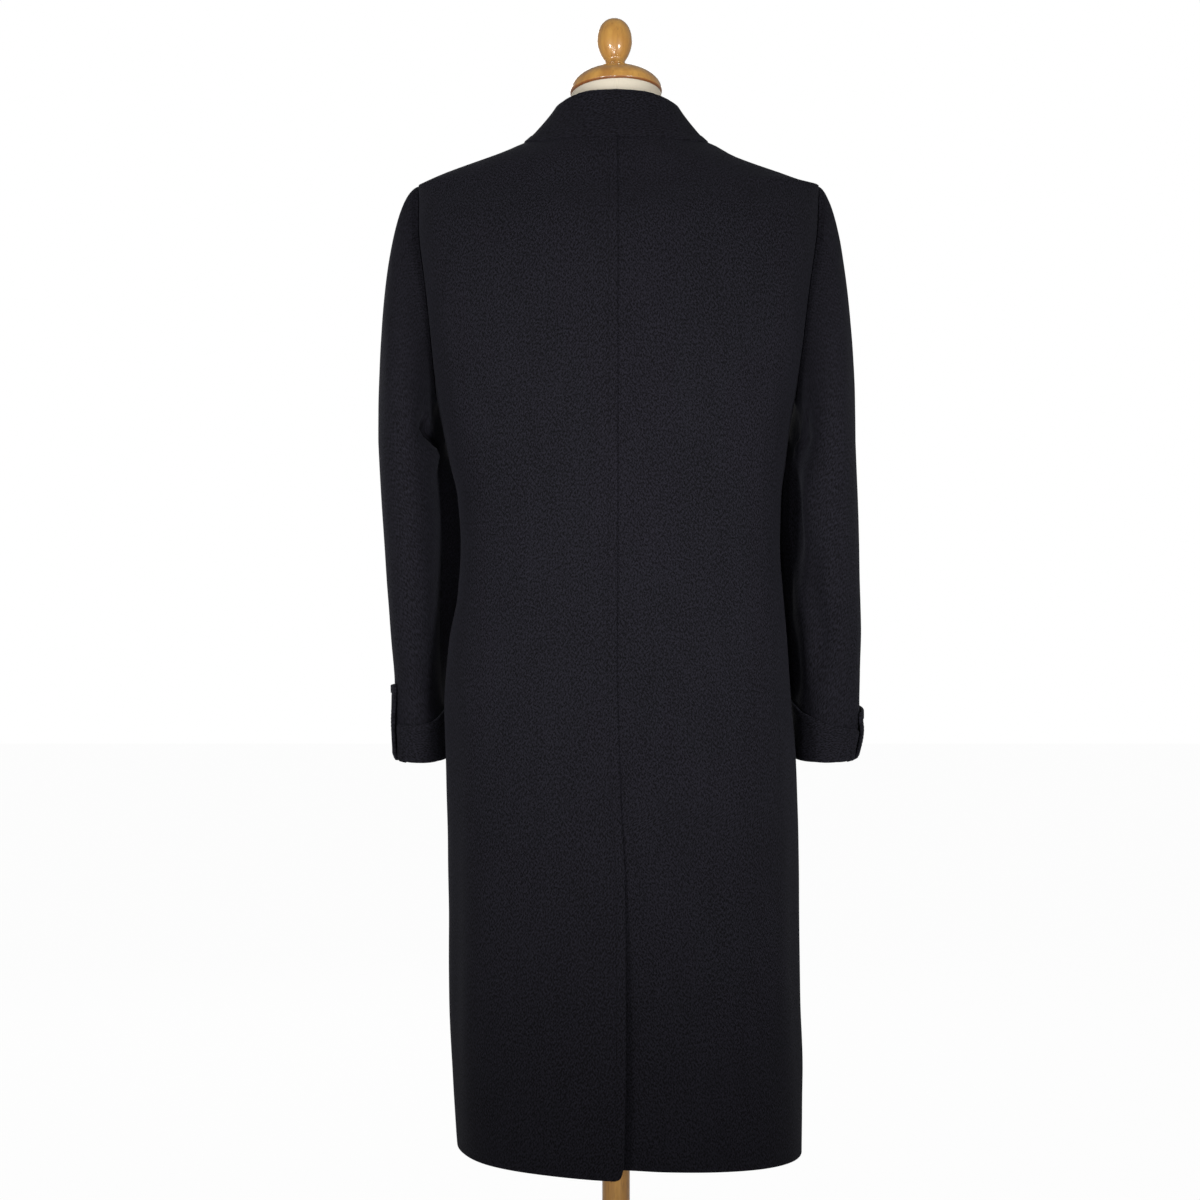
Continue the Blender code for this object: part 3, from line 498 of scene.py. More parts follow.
def cloth_shell(name, grid, normals, form, material, rounds=FOLDED):
    """A closed shell of cloth on a grid. form(point, near) says how far each point is moved
    out from the grid and how much fuller than plain the wall is there; rounds are how far
    in its start, end, bottom and top edges are rounded."""
    rows = len(grid)
    columns = len(grid[0])
    near = distances(grid)
    outer = []
    vertices = []
    charts = []
    inner_faces = []
    for r in range(rows):
        line = []
        for c in range(columns):
            here = near[r][c]
            shift, fuller = form(grid[r][c], here)
            drop = (CLOTH + fuller) / 2 * rounded(here, rounds)
            line.append(grid[r][c] + normals[r][c] * (shift + fuller - drop))
            inner_faces.append(grid[r][c] + normals[r][c] * (shift - CLOTH + drop))
            charts.append((here.start, here.bottom))
        outer.append(line)
        vertices += line
    inner_index = {}
    for r in range(1, rows - 1):
        for c in range(1, columns - 1):
            inner_index[r, c] = len(vertices)
            vertices.append(inner_faces[r * columns + c])
            charts.append(charts[r * columns + c])

    def inner(r, c):
        return inner_index.get((r, c), r * columns + c)

    middle_r = rows // 2
    middle_c = columns // 2
    across = grid[middle_r][middle_c + 1] - grid[middle_r][middle_c]
    up = grid[middle_r + 1][middle_c] - grid[middle_r][middle_c]
    outward = across.cross(up).dot(normals[middle_r][middle_c]) > 0
    faces = []
    for r in range(rows - 1):
        for c in range(columns - 1):
            corner = r * columns + c
            front = (corner, corner + 1, corner + columns + 1, corner + columns)
            back = (inner(r, c), inner(r + 1, c), inner(r + 1, c + 1), inner(r, c + 1))
            if outward:
                faces += [front, back]
            else:
                faces += [front[::-1], back[::-1]]
    return Cut(new_piece(name, vertices, faces, material, charts), outer, normals)


def stitch_line(cut, edge, first=None, last=None):
    """Where the stitches run on a cut's outer face, along its start, end, bottom or top."""
    lines = [[point + normal * STITCH_LIFT for point, normal in zip(points, normals)]
             for points, normals in zip(cut.outer, cut.normals)]
    if edge in ("bottom", "top"):
        lines = [list(line) for line in zip(*lines)]
    if edge in ("end", "top"):
        lines = [line[::-1] for line in lines]
    return [resampled(line, [STITCH_MARGIN])[0] for line in lines[first:last]]


class Creases:
    """Soft folds on a surface: troughs along lines, each with a low ridge on one side."""

    def __init__(self, *rows):
        self.rows = rows      # ends (u, v) and (u, v), half width and depth, in metres

    def at(self, u, v):
        """How far the folds move the surface at (u, v): below 0 in a trough."""
        total = 0.0
        for index, (u1, v1, u2, v2, width, depth) in enumerate(self.rows):
            run_u = u2 - u1
            run_v = v2 - v1
            run = hypot(run_u, run_v)
            way = ((u - u1) * run_u + (v - v1) * run_v) / run ** 2
            off = ((u - u1) * run_v - (v - v1) * run_u) / run
            past = max(-way, way - 1, 0.0) * run
            if abs(off) > 4 * width or past > 3 * width:
                continue
            strength = 0.35 + 0.65 * sin(pi * min(max(way, 0.0), 1.0))
            uneven = 1 + 0.3 * noise.noise(Vector((way * 3.0, index * 7.3, 0.5)))
            fade = exp(-(past / width) ** 2)
            trough = exp(-(off / width) ** 2)
            ridge = 0.45 * exp(-((off - 1.8 * width) / (1.1 * width)) ** 2)
            total += depth * strength * uneven * fade * (ridge - trough)
        return total


# ---------------------------------------------------------------- body panels
HEM_LEVEL = 0.315         # a hem's own slope has died out at this height
PANEL_COLUMNS = 42
PANEL_SAMPLES = 140
SKIRT_STEPS = 96
ARMHOLE_STEPS = 40
SHOULDER_STEPS = 14
HEM_STOPS = (0.0060, 0.0120)      # next rows up from the hem, after those at its edge
HEM_CORNER = 0.008        # radius of a hem's corner at the vent or the front's edge
SIDE_REACH = 0.19         # mean radius of the body, where a turn becomes a length
ARMHOLE_DRAW = 0.0003     # how far the armhole seam draws the cloth in on each side
ARMHOLE_DRAW_WIDTH = 0.0045
COLLAR_BED = 0.0018       # the shoulder rises by this much to meet the collar's leaf

# Folds of the body: place round it from the centre back (left above 0) and height of each end,
# half width and depth.
BODY_CREASES = Creases(
    (0.180, 1.135, 0.105, 1.045, 0.0170, 0.0016),
    (0.190, 1.085, 0.125, 1.000, 0.0150, 0.0013),
    (-0.185, 1.120, -0.100, 1.020, 0.0180, 0.0017),
    (-0.195, 1.070, -0.130, 0.985, 0.0140, 0.0012),
    (-0.070, 0.992, 0.065, 0.985, 0.0170, 0.0009),
    (0.120, 0.640, 0.135, 0.330, 0.0300, 0.0022),
    (-0.100, 0.680, -0.125, 0.330, 0.0320, 0.0024),
    (0.235, 0.860, 0.250, 0.320, 0.0300, 0.0036),
    (-0.245, 0.840, -0.255, 0.320, 0.0280, 0.0036),
    (0.345, 0.800, 0.365, 0.320, 0.0320, 0.0034),
    (-0.350, 0.760, -0.360, 0.320, 0.0300, 0.0034),
    (0.575, 1.000, 0.470, 1.040, 0.0120, 0.0020),
    (0.575, 0.990, 0.480, 0.955, 0.0120, 0.0018),
    (-0.570, 1.005, -0.470, 1.035, 0.0120, 0.0018),
    (-0.575, 0.990, -0.485, 0.950, 0.0120, 0.0018),
    (0.430, 1.330, 0.350, 1.230, 0.0180, 0.0022),
    (-0.430, 1.325, -0.350, 1.225, 0.0180, 0.0022),
    (0.520, 0.820, 0.500, 0.330, 0.0300, 0.0028),
    (-0.500, 0.840, -0.480, 0.330, 0.0320, 0.0028),
)


def drawn_in(distance, height):
    """How far the armhole's seam draws the cloth in at a distance from it."""
    draw = ARMHOLE_DRAW * exp(-(distance / ARMHOLE_DRAW_WIDTH) ** 2)
    return draw * ease(height, 1.392, 1.360)


def body_folds(point, near):
    """How far the body's cloth hangs off its plain form."""
    x, y, z = point
    turn = atan2(x, y)
    hang = ease(z, 1.00, 0.36)
    flutes = 0.0009 * sin(4 * turn + 0.9) + 0.0008 * sin(7 * turn + 2.2)
    drift = 0.0011 * noise.noise(point * 6.0) + 0.0004 * noise.noise(point * 17.0)
    sewn = ease(z, ARMHOLE_BOTTOM - 0.05, ARMHOLE_BOTTOM)
    calm = (1 - sewn * ease(near.end, 0.035, 0.0)) * ease(z, 1.440, 1.380)
    bed = COLLAR_BED * ease(abs(x), 0.099, 0.108) * ease(abs(x), 0.140, 0.110)
    bed *= ease(z, 1.405, 1.420) * exp(-(y / 0.045) ** 2)
    folds = hang * flutes + drift + BODY_CREASES.at(turn * SIDE_REACH, z)
    return folds * calm - sewn * drawn_in(near.end, z) + bed


def side_point(side, height):
    """The body's side, where its back and front meet."""
    return Vector((body_x(0, height, side), 0, height))


def panel_rows(side, face, hem_centre, top_centre, lower_centre):
    """Rows of a panel, hem to neck: height at its centre edge, then its end at the side."""
    hem_side = HEM_SIDE[side]
    shares = [up / (HEM_LEVEL - hem_side) for up in (*EDGE_STOPS, *HEM_STOPS)]
    shares += [0.7, 1.0]
    rows = []
    for share in shares:
        end = side_point(side, mix(hem_side, HEM_LEVEL, share))
        rows.append((mix(hem_centre, HEM_LEVEL, share), end))
    for k in range(1, SKIRT_STEPS):
        height = mix(HEM_LEVEL, ARMHOLE_BOTTOM, k / SKIRT_STEPS)
        rows.append((height, side_point(side, height)))
    for k in range(ARMHOLE_STEPS, -1, -1):
        end = armhole_point(side, face * pi * k / ARMHOLE_STEPS)
        rows.append((end.z - lower_centre * ease(end.z, 1.25, SHOULDER_TIP), end))
    tip_centre = rows[-1][0]
    for k in range(1, SHOULDER_STEPS + 1):
        share = k / SHOULDER_STEPS
        end = side_point(side, mix(SHOULDER_TIP, NECK_SIDE, share))
        rows.append((mix(tip_centre, top_centre, share), end))
    return rows


def panel_line(side, face, centre_height, end, start_x):
    """One row of a panel, from its centre edge to its end at the side."""
    half, _depth, square = ring(side, end.z, face)
    extent = asin(min(abs(end.x) / half, 1.0) ** (square / 2))
    line = []
    for k in range(PANEL_SAMPLES):
        share = sin((k / PANEL_SAMPLES) ** 1.25 * extent) / sin(extent)
        line.append(body_point(mix(start_x, end.x, share), mix(centre_height, end.z, share), face))
    return [*line, end]


def panel(name, side, face, rows, edge_x, margin, form, material):
    """A body panel, its side and shoulder pressed into seams and its hem's corner softened."""
    lines = [panel_line(side, face, height, end, edge_x(height)) for height, end in rows]
    grid = evened(lines, PANEL_COLUMNS, start_margin=margin, trim=SEAM_GAP / 2)
    grid = soft_corner(grid, HEM_CORNER, from_end=False, from_top=False)
    normals = [[body_normal(point) for point in row] for row in grid]
    rounds = (EDGE_ROUND, SEAM_ROUND, EDGE_ROUND, SEAM_ROUND)
    return cloth_shell(name, grid, normals, form, material, rounds)


def front_sink(point):
    """The right front lies under the left one along the centre front."""
    edge = front_edge_x(point.z)
    return (CLOTH + LAP_CLEAR) * ease(point.x, edge - 0.055, edge - 0.015)


def back_edge_x(height):
    return BACK_EDGE.read(height, "x")


def under_edge_x(height):
    lap = mix(VENT_LAP, SEAM_LAP, ease(height, VENT_TOP - 0.05, VENT_TOP))
    return back_edge_x(height) + lap


VENT_FLARE = 0.0036       # the vent's upper side swings out by this much at the hem
VENT_RECESS = 0.0075      # and its under side falls in by this much
SEAM_FELL = 0.0014        # the sewn seam's edge is pressed this much thinner than the vent's


def vent_open(height):
    """How freely the vent hangs: 0 at its top, 1 near the hem."""
    return ease(height, VENT_TOP - 0.02, 0.36)


def seam_closed(height):
    """1 where the centre-back seam is sewn, 0 below it."""
    return ease(height, VENT_TOP - 0.02, VENT_TOP + 0.05)


def back_left_form(point, near):
    flare = VENT_FLARE * vent_open(point.z) * ease(near.start, 0.090, 0.0)
    pressed = SEAM_FELL * seam_closed(point.z)
    thinner = pressed * ease(near.start, STITCH_MARGIN + 0.006, 0.0)
    return body_folds(point, near) + flare, swelled(near.start, STITCH_MARGIN) - thinner


def back_right_form(point, near):
    edge = back_edge_x(point.z)
    sewn = seam_closed(point.z)
    reach = mix(0.045, 0.026, sewn)
    sink = (CLOTH + LAP_CLEAR) * ease(point.x, edge - reach, edge - mix(0.012, 0.001, sewn))
    recess = VENT_RECESS * vent_open(point.z) * ease(point.x, edge - 0.110, 0.0)
    return body_folds(point, near) - sink - recess, 0.0


def front_left_form(point, near):
    stitched = ease(point.z, BREAK_HEIGHT + 0.005, BREAK_HEIGHT - 0.020)
    return body_folds(point, near), swelled(near.start, STITCH_MARGIN) * stitched


def front_right_form(point, near):
    return body_folds(point, near) - front_sink(point), 0.0


# ---------------------------------------------------------------- lapels
LAPEL_ROWS = 64
LAPEL_COLUMNS = 26
LAPEL_LENGTH = 0.27       # along its outer edge, break to top
LAPEL_ROLL = 0.0026       # how much higher a lapel stands at its roll than where it lies flat
LAPEL_ROLL_FALL = 0.014
LAPEL_UNDER = 0.0046      # the turned-in cloth's middle, below the front's outer face
POINT_CORNER = 0.0035     # radius of the points of lapels, collar and cuffs
LAPEL_INSIDE = 0.012      # width of cloth that shows inside the roll
LAPEL_FIRST_WAYS = (0.0, 0.0008, 0.0025, 0.006)      # its first rows; the even ones
LAPEL_EVEN_FROM = 0.012                              # start here
INSIDE_SAMPLES = 8        # points of a lapel's or cuff's row inside its roll,
ROLL_SAMPLES = 12         # round the roll
LAPEL_SAMPLES = 60        # and from the roll to the edge


def lapel_start(side, way):
    """Roll line end of a lapel's row, which the other front's edge cuts short on the right."""
    height = mix(BREAK_HEIGHT + 0.004, GORGE_HEIGHT - 0.004, way)
    x = roll_x(height)
    if side < 0:
        x = max(x, -roll_x(height) + 0.0015)
    return x, height


def lapel_line(side, way):
    """The middle of a lapel's wall: from inside the front, round its roll, out to its edge."""
    start_x, start_height = lapel_start(side, way)
    end_x = LAPEL.read(way, "x")
    end_height = LAPEL.read(way, "height")

    def resting(share):
        height = mix(start_height, end_height, share)
        point = body_point(mix(start_x, end_x, share) * side, height, -1)
        return point, body_normal(point), front_sink(point) if side < 0 else 0.0

    base, normal, sunk = resting(0.0)
    along = (resting(0.02)[0] - base).normalized()
    high = LAPEL_LIFT + CLOTH / 2 + LAPEL_ROLL * ease(way, 0.0, 0.25)
    radius = (high + LAPEL_UNDER) / 2
    centre = base + normal * (high - radius - sunk)
    line = []
    for k in range(INSIDE_SAMPLES):
        inside = along * LAPEL_INSIDE * (1 - k / INSIDE_SAMPLES)
        line.append(centre - normal * radius + inside)
    for k in range(ROLL_SAMPLES + 1):
        turn = pi * (1 - k / ROLL_SAMPLES)
        line.append(centre + normal * radius * cos(turn) - along * radius * sin(turn))
    for k in range(1, LAPEL_SAMPLES + 1):
        point, up, sunk = resting(k / LAPEL_SAMPLES)
        away = (point - base).length
        lift = mix(LAPEL_LIFT + CLOTH / 2, high, exp(-((away / LAPEL_ROLL_FALL) ** 1.5)))
        line.append(point + up * (lift - sunk))
    return line


def lapel(name, side, first_way, material):
    top = [1 - d / LAPEL_LENGTH for d in reversed(edge_stops(STITCH_MARGIN))]
    even = [mix(LAPEL_EVEN_FROM, top[0], k / LAPEL_ROWS) for k in range(LAPEL_ROWS)]
    ways = [*LAPEL_FIRST_WAYS, *even, *top]
    lines = [lapel_line(side, mix(first_way, 1.0, way)) for way in ways]
    grid = evened(lines, LAPEL_COLUMNS, end_margin=STITCH_MARGIN)
    grid = soft_corner(grid, POINT_CORNER, from_end=True, from_top=True)
    normals = grid_normals(grid, side)

    def form(point, near):
        wave = 0.0005 * noise.noise(point * 21.0)
        edge = min(near.end, near.top)
        return CLOTH / 2 + wave, swelled(edge, STITCH_MARGIN)

    return cloth_shell(name, grid, normals, form, material)


# ---------------------------------------------------------------- sleeves
HEAD_STEPS = 9
TUBE_HEIGHTS = (1.045, 0.995, 0.945, 0.895, 0.845, 0.80, 0.765)
SLEEVE_STEPS = HEAD_STEPS + len(TUBE_HEIGHTS) + 1
SLEEVE_ROWS = 104
SLEEVE_COLUMNS = {"top": 34, "under": 30}
SLEEVE_REACH = 0.055      # mean radius of a sleeve, where a turn becomes a length
SLEEVE_SAMPLES = 90
SLEEVE_FIRST_STEPS = (0.0, 0.006, 0.018, 0.042, 0.10, 0.20)      # its first rows; the even
SLEEVE_EVEN_FROM = 0.32                                          # ones start here
SEAM_TURN = 0.0018        # the turn by which each cut stops short of its seams

# Folds of the sleeves: turn in degrees from the outer side over the back, and height, of each
# end; half width and depth.
SLEEVE_FOLDS = {
    1: ((140, 1.118, 182, 1.112, 0.0150, 0.0190), (214, 1.124, 236, 1.084, 0.0180, -0.0080),
        (70, 1.020, 150, 0.975, 0.0160, 0.0022), (60, 0.955, 160, 0.935, 0.0150, 0.0016),
        (200, 1.010, 300, 0.965, 0.0140, 0.0040), (205, 0.955, 290, 0.930, 0.0120, 0.0034),
        (200, 0.900, 280, 0.890, 0.0130, 0.0026), (100, 0.870, 130, 0.800, 0.0140, 0.0014),
        (-60, 1.230, -40, 1.080, 0.0170, 0.0022), (30, 1.220, 60, 1.080, 0.0180, 0.0012)),
    -1: ((190, 1.132, 182, 1.084, 0.0150, -0.0150), (172, 1.052, 156, 0.960, 0.0200, 0.0125),
         (124, 1.010, 106, 0.830, 0.0150, 0.0050),
         (75, 0.985, 150, 0.945, 0.0150, 0.0022), (95, 0.905, 128, 0.800, 0.0130, 0.0024),
         (200, 0.995, 300, 0.950, 0.0140, 0.0040), (205, 0.940, 290, 0.915, 0.0120, 0.0034),
         (200, 0.885, 280, 0.880, 0.0130, 0.0026), (60, 0.860, 85, 0.800, 0.0120, 0.0012),
         (-60, 1.220, -40, 1.070, 0.0170, 0.0022), (30, 1.230, 60, 1.090, 0.0180, 0.0012),
         (198, 0.880, 198, 0.800, 0.0160, -0.0120)),
}
SLEEVE_CREASES = {
    side: Creases(*((radians(a) * SLEEVE_REACH, low, radians(b) * SLEEVE_REACH, high, width, depth)
                    for a, low, b, high, width, depth in folds))
    for side, folds in SLEEVE_FOLDS.items()
}


def tube_point(side, height, turn):
    """The sleeve below its head; the turn runs from its outer side over the back."""
    table = SLEEVE[side]
    inner = table.read(height, "inner")
    outer = table.read(height, "outer")
    bulge = 2 * max(0.0, -cos(turn)) * max(0.0, -sin(turn)) * table.read(height, "fill")
    x = (inner + outer) / 2 + (outer - inner) / 2 * power(cos(turn), 0.95) - bulge
    y = table.read(height, "centre") + table.read(height, "breadth") * power(sin(turn), 0.95)
    return Vector((x * side, y, height))


def head_point(side, turn, share):
    """The sleeve head, curving from the armhole out and down to the tube."""
    start = armhole_point(side, turn)
    start.x += side * SEAM_GAP
    end = tube_point(side, SLEEVE_JOIN, turn)
    crown = (1 + cos(turn)) / 2
    reach_out = mix(0.0050, SLEEVE_CROWN[side], crown ** 1.5)
    reach_down = mix(-0.010, -0.008, ease(crown, 0.0, 0.5))
    first = start + Vector((side * reach_out, 0.010 * sin(turn), reach_down))
    last = end + Vector((0.0, 0.0, mix(0.020, 0.168, crown)))
    s = share
    return (start * (1 - s) ** 3 + first * 3 * s * (1 - s) ** 2
            + last * 3 * s * s * (1 - s) + end * s ** 3)


def sleeve_end(side, turn):
    return SLEEVE_END - SLEEVE_DROOP * sin(turn)


def sleeve_point(side, turn, step):
    """A sleeve's surface; the step counts rows from the armhole to the cuff."""
    if step <= HEAD_STEPS:
        return head_point(side, turn, step / HEAD_STEPS)
    heights = (SLEEVE_JOIN, *TUBE_HEIGHTS, sleeve_end(side, turn))
    low = min(int(step - HEAD_STEPS), len(heights) - 2)
    height = mix(heights[low], heights[low + 1], step - HEAD_STEPS - low)
    return tube_point(side, height, turn)


def sleeve_turn(side, point):
    """The turn at which a point of a sleeve lies."""
    table = SLEEVE[side]
    height = min(point.z, SLEEVE_JOIN)
    inner = table.read(height, "inner")
    outer = table.read(height, "outer")
    across = (point.x * side - (inner + outer) / 2) / ((outer - inner) / 2)
    along = (point.y - table.read(height, "centre")) / table.read(height, "breadth")
    return atan2(along, across)


def sleeve_form(side):
    creases = SLEEVE_CREASES[side]

    def form(point, near):
        turn = sleeve_turn(side, point)
        folds = 0.0
        for lap in (-2 * pi, 0.0, 2 * pi):
            folds += creases.at((turn + lap) * SLEEVE_REACH, point.z)
        drift = 0.0008 * noise.noise(point * 9.0) + 0.0003 * noise.noise(point * 25.0)
        calm = ease(near.bottom, 0.055, 0.075) * ease(near.top, 0.004, 0.034)
        return (folds + drift) * calm - drawn_in(near.top, point.z), 0.0

    return form


def sleeve_piece(name, side, kind, first, last, material):
    """One cut of a sleeve between two seams, each given as its turn at armhole and cuff."""
    lines = []
    even = [mix(SLEEVE_EVEN_FROM, SLEEVE_STEPS, k / SLEEVE_ROWS) for k in range(SLEEVE_ROWS + 1)]
    for step in (*SLEEVE_FIRST_STEPS, *even):
        share = step / SLEEVE_STEPS
        start = mix(first[0], first[1], share) + SEAM_TURN
        end = mix(last[0], last[1], share) - SEAM_TURN
        turns = [mix(start, end, k / SLEEVE_SAMPLES) for k in range(SLEEVE_SAMPLES + 1)]
        lines.append([sleeve_point(side, turn, step) for turn in turns])
    grid = evened(lines, SLEEVE_COLUMNS[kind])
    normals = grid_normals(grid, -side)
    rounds = (SEAM_ROUND, SEAM_ROUND, SEAM_ROUND, EDGE_ROUND)
    return cloth_shell(name, grid, normals, sleeve_form(side), material, rounds)


# ---------------------------------------------------------------- cuffs
CUFF_ROWS = 84
CUFF_COLUMNS = 16
CUFF_INSIDE = 0.014       # how far the cloth runs up inside the sleeve's mouth
CUFF_UNDER = 0.0044       # the turned-in cloth's middle, below the sleeve's outer face
CUFF_FLAP = {1: 0.0030, -1: 0.0026}      # the outer side of the slit stands off by this much
CUFF_SAMPLES = 40


def cuff_line(side, share):
    """The middle of a cuff's wall at one place round it, from inside the mouth to its top."""
    half_slit = CUFF_SLIT / 2 / CUFF_RADIUS
    turn = HIND_SEAM[side][1] + half_slit + (2 * pi - 2 * half_slit) * share
    end = sleeve_end(side, turn)
    high = CUFF_LIFT + CLOTH / 2
    radius = (high + CUFF_UNDER) / 2
    centre_height = end + 0.0016
    top = CUFF_TOP[side].read(share, "height")

    def around(height, lift):
        point = tube_point(side, height, turn)
        step = tube_point(side, height, turn + 0.02) - tube_point(side, height, turn - 0.02)
        return point + Vector((step.y, -step.x, 0.0)).normalized() * side * lift

    line = [around(centre_height + CUFF_INSIDE * (1 - k / INSIDE_SAMPLES), -CUFF_UNDER)
            for k in range(INSIDE_SAMPLES)]
    for k in range(ROLL_SAMPLES + 1):
        sweep = pi * (1 - k / ROLL_SAMPLES)
        offset = high - radius + radius * cos(sweep)
        point = around(centre_height, offset)
        point.z = centre_height - radius * sin(sweep)
        line.append(point)
    flap = CUFF_FLAP[side] * ease(share, 0.90, 1.0)
    for k in range(1, CUFF_SAMPLES + 1):
        rise = k / CUFF_SAMPLES
        height = mix(centre_height, top, rise)
        stand_off = 0.0006 * ease(rise, 0.3, 1.0) + flap * sin(pi * min(rise + 0.18, 1.0) ** 1.2)
        line.append(around(height, high + stand_off))
    return line


def cuff(name, side, material):
    """A cuff turned back over the sleeve's end, open in a slit at the hind-arm seam."""
    girth = 2 * pi * CUFF_RADIUS
    edge = edge_stops(STITCH_MARGIN)
    shares = [d / girth for d in edge]
    shares += [mix(edge[-1] / girth, 1 - edge[-1] / girth, k / CUFF_ROWS)
               for k in range(1, CUFF_ROWS)]
    shares += [1 - d / girth for d in reversed(edge)]
    lines = [cuff_line(side, share) for share in shares]
    grid = evened(lines, CUFF_COLUMNS, end_margin=STITCH_MARGIN)
    grid = soft_corner(grid, POINT_CORNER, from_end=True, from_top=True)
    grid = soft_corner(grid, POINT_CORNER, from_end=True, from_top=False)
    normals = grid_normals(grid, -side)

    def form(point, near):
        edge = min(near.end, near.bottom, near.top)
        return CLOTH / 2 + 0.0004 * noise.noise(point * 30.0), swelled(edge, STITCH_MARGIN)

    return cloth_shell(name, grid, normals, form, material)


# ---------------------------------------------------------------- collar
COLLAR_ROWS = 58          # from centre back to each end
COLLAR_COLUMNS = 30
COLLAR_HALF = 0.24        # about its length from the centre back to one end
LEAF_EDGE_LIFT = 0.0004   # the leaf's edge lies this close on the back
LEAF_FELL = 0.0007        # and its edge is pressed this much thinner


def neck_point(side, way):
    """The neck edge of the body: 0 at centre back, 1 at the shoulder, 2 at the roll line."""
    shoulder = body_x(0, NECK_SIDE, side)
    if way <= 1:
        share = sin(way * pi / 2)
        return body_point(shoulder * share, mix(NECK_BACK, NECK_SIDE, share), 1)
    share = way - 1
    x = mix(shoulder, ROLL_TOP_X * side, share)
    return body_point(x, mix(NECK_SIDE, GORGE_HEIGHT, share), -1)


def collar_line(side, station):
    """The middle of the collar's wall across it: stand, fold and leaf, as 3-D points."""
    read = COLLAR.read
    way = read(station, "neck")
    seam = neck_point(side, way)
    seam_normal = body_normal(seam)
    tangent = neck_point(side, way + 0.02) - neck_point(side, max(way - 0.02, -0.02))
    into_neck = tangent.cross(seam_normal).normalized() * side
    stand = seam - seam_normal * CLOTH / 2 + into_neck * STAND_CLEAR
    edge = body_point(read(station, "edge_x") * side, read(station, "edge_z"),
                      1 if station < COLLAR_SHOULDER else -1)
    spread = ease(station, 0.20, 0.50) * ease(station, 0.90, 0.72) * COLLAR_SPREAD[side]
    fold = Vector(((read(station, "fold_x") + spread) * side, read(station, "fold_y"),
                   read(station, "fold_z")))
    out = Vector((edge.x - fold.x, edge.y - fold.y, 0)).normalized()
    up = Vector((0, 0, 1))
    centre = fold - up * (COLLAR_FOLD_RADIUS + CLOTH / 2)
    line = [stand, stand.lerp(centre - out * COLLAR_FOLD_RADIUS, 0.5)]
    for degrees in (180, 135, 90, 45, 10):
        turn = radians(degrees)
        line.append(centre + (out * cos(turn) + up * sin(turn)) * COLLAR_FOLD_RADIUS)
    start = line[-1]
    heading = edge - start
    sag = heading.length * mix(0.06, 0.01, ease(station, 0.22, 0.36) * ease(station, 0.80, 0.66))
    for share in (0.25, 0.5, 0.75, 1.0):
        bulge = 4 * share * (1 - share)
        point = start + heading * share - (out * 0.7 + up * 0.7) * sag * bulge
        line.append(raised(point, mix(LEAF_LIFT, LEAF_EDGE_LIFT, share ** 2) + CLOTH / 2))
    return line


def smoothed(points, steps):
    """A polyline through the points, rounded between them."""
    padded = [points[0] * 2 - points[1], *points, points[-1] * 2 - points[-2]]
    line = []
    for k in range(len(points) - 1):
        before, start, end, after = padded[k:k + 4]
        for step in range(steps):
            t = step / steps
            line.append(0.5 * (start * 2 + (end - before) * t
                               + (before * 2 - start * 5 + end * 4 - after) * t * t
                               + (start * 3 - before - end * 3 + after) * t ** 3))
    return [*line, points[-1]]


def collar(material):
    """The collar: one folded wall round the neck, from notch to notch."""
    ends = [1 - d / COLLAR_HALF for d in edge_stops(STITCH_MARGIN)]
    stations = [*ends, *(k / COLLAR_ROWS * ends[-1] for k in range(COLLAR_ROWS - 1, -1, -1))]
    lines = [smoothed(collar_line(1, s), 10) for s in stations]
    lines += [smoothed(collar_line(-1, s), 10) for s in reversed(stations[:-1])]
    grid = evened(lines, COLLAR_COLUMNS, end_margin=STITCH_MARGIN)
    grid = soft_corner(grid, POINT_CORNER, from_end=True, from_top=True)
    grid = soft_corner(grid, POINT_CORNER, from_end=True, from_top=False)
    normals = grid_normals(grid, 1)

    def form(point, near):
        edge = min(near.end, near.bottom, near.top)
        wave = 0.0004 * noise.noise(point * 24.0)
        thinner = LEAF_FELL * ease(edge, STITCH_MARGIN + 0.004, 0.0)
        return CLOTH / 2 + wave - thinner * 0.5, swelled(edge, STITCH_MARGIN) * 0.8 - thinner

    return cloth_shell("coat_collar", grid, normals, form, material)


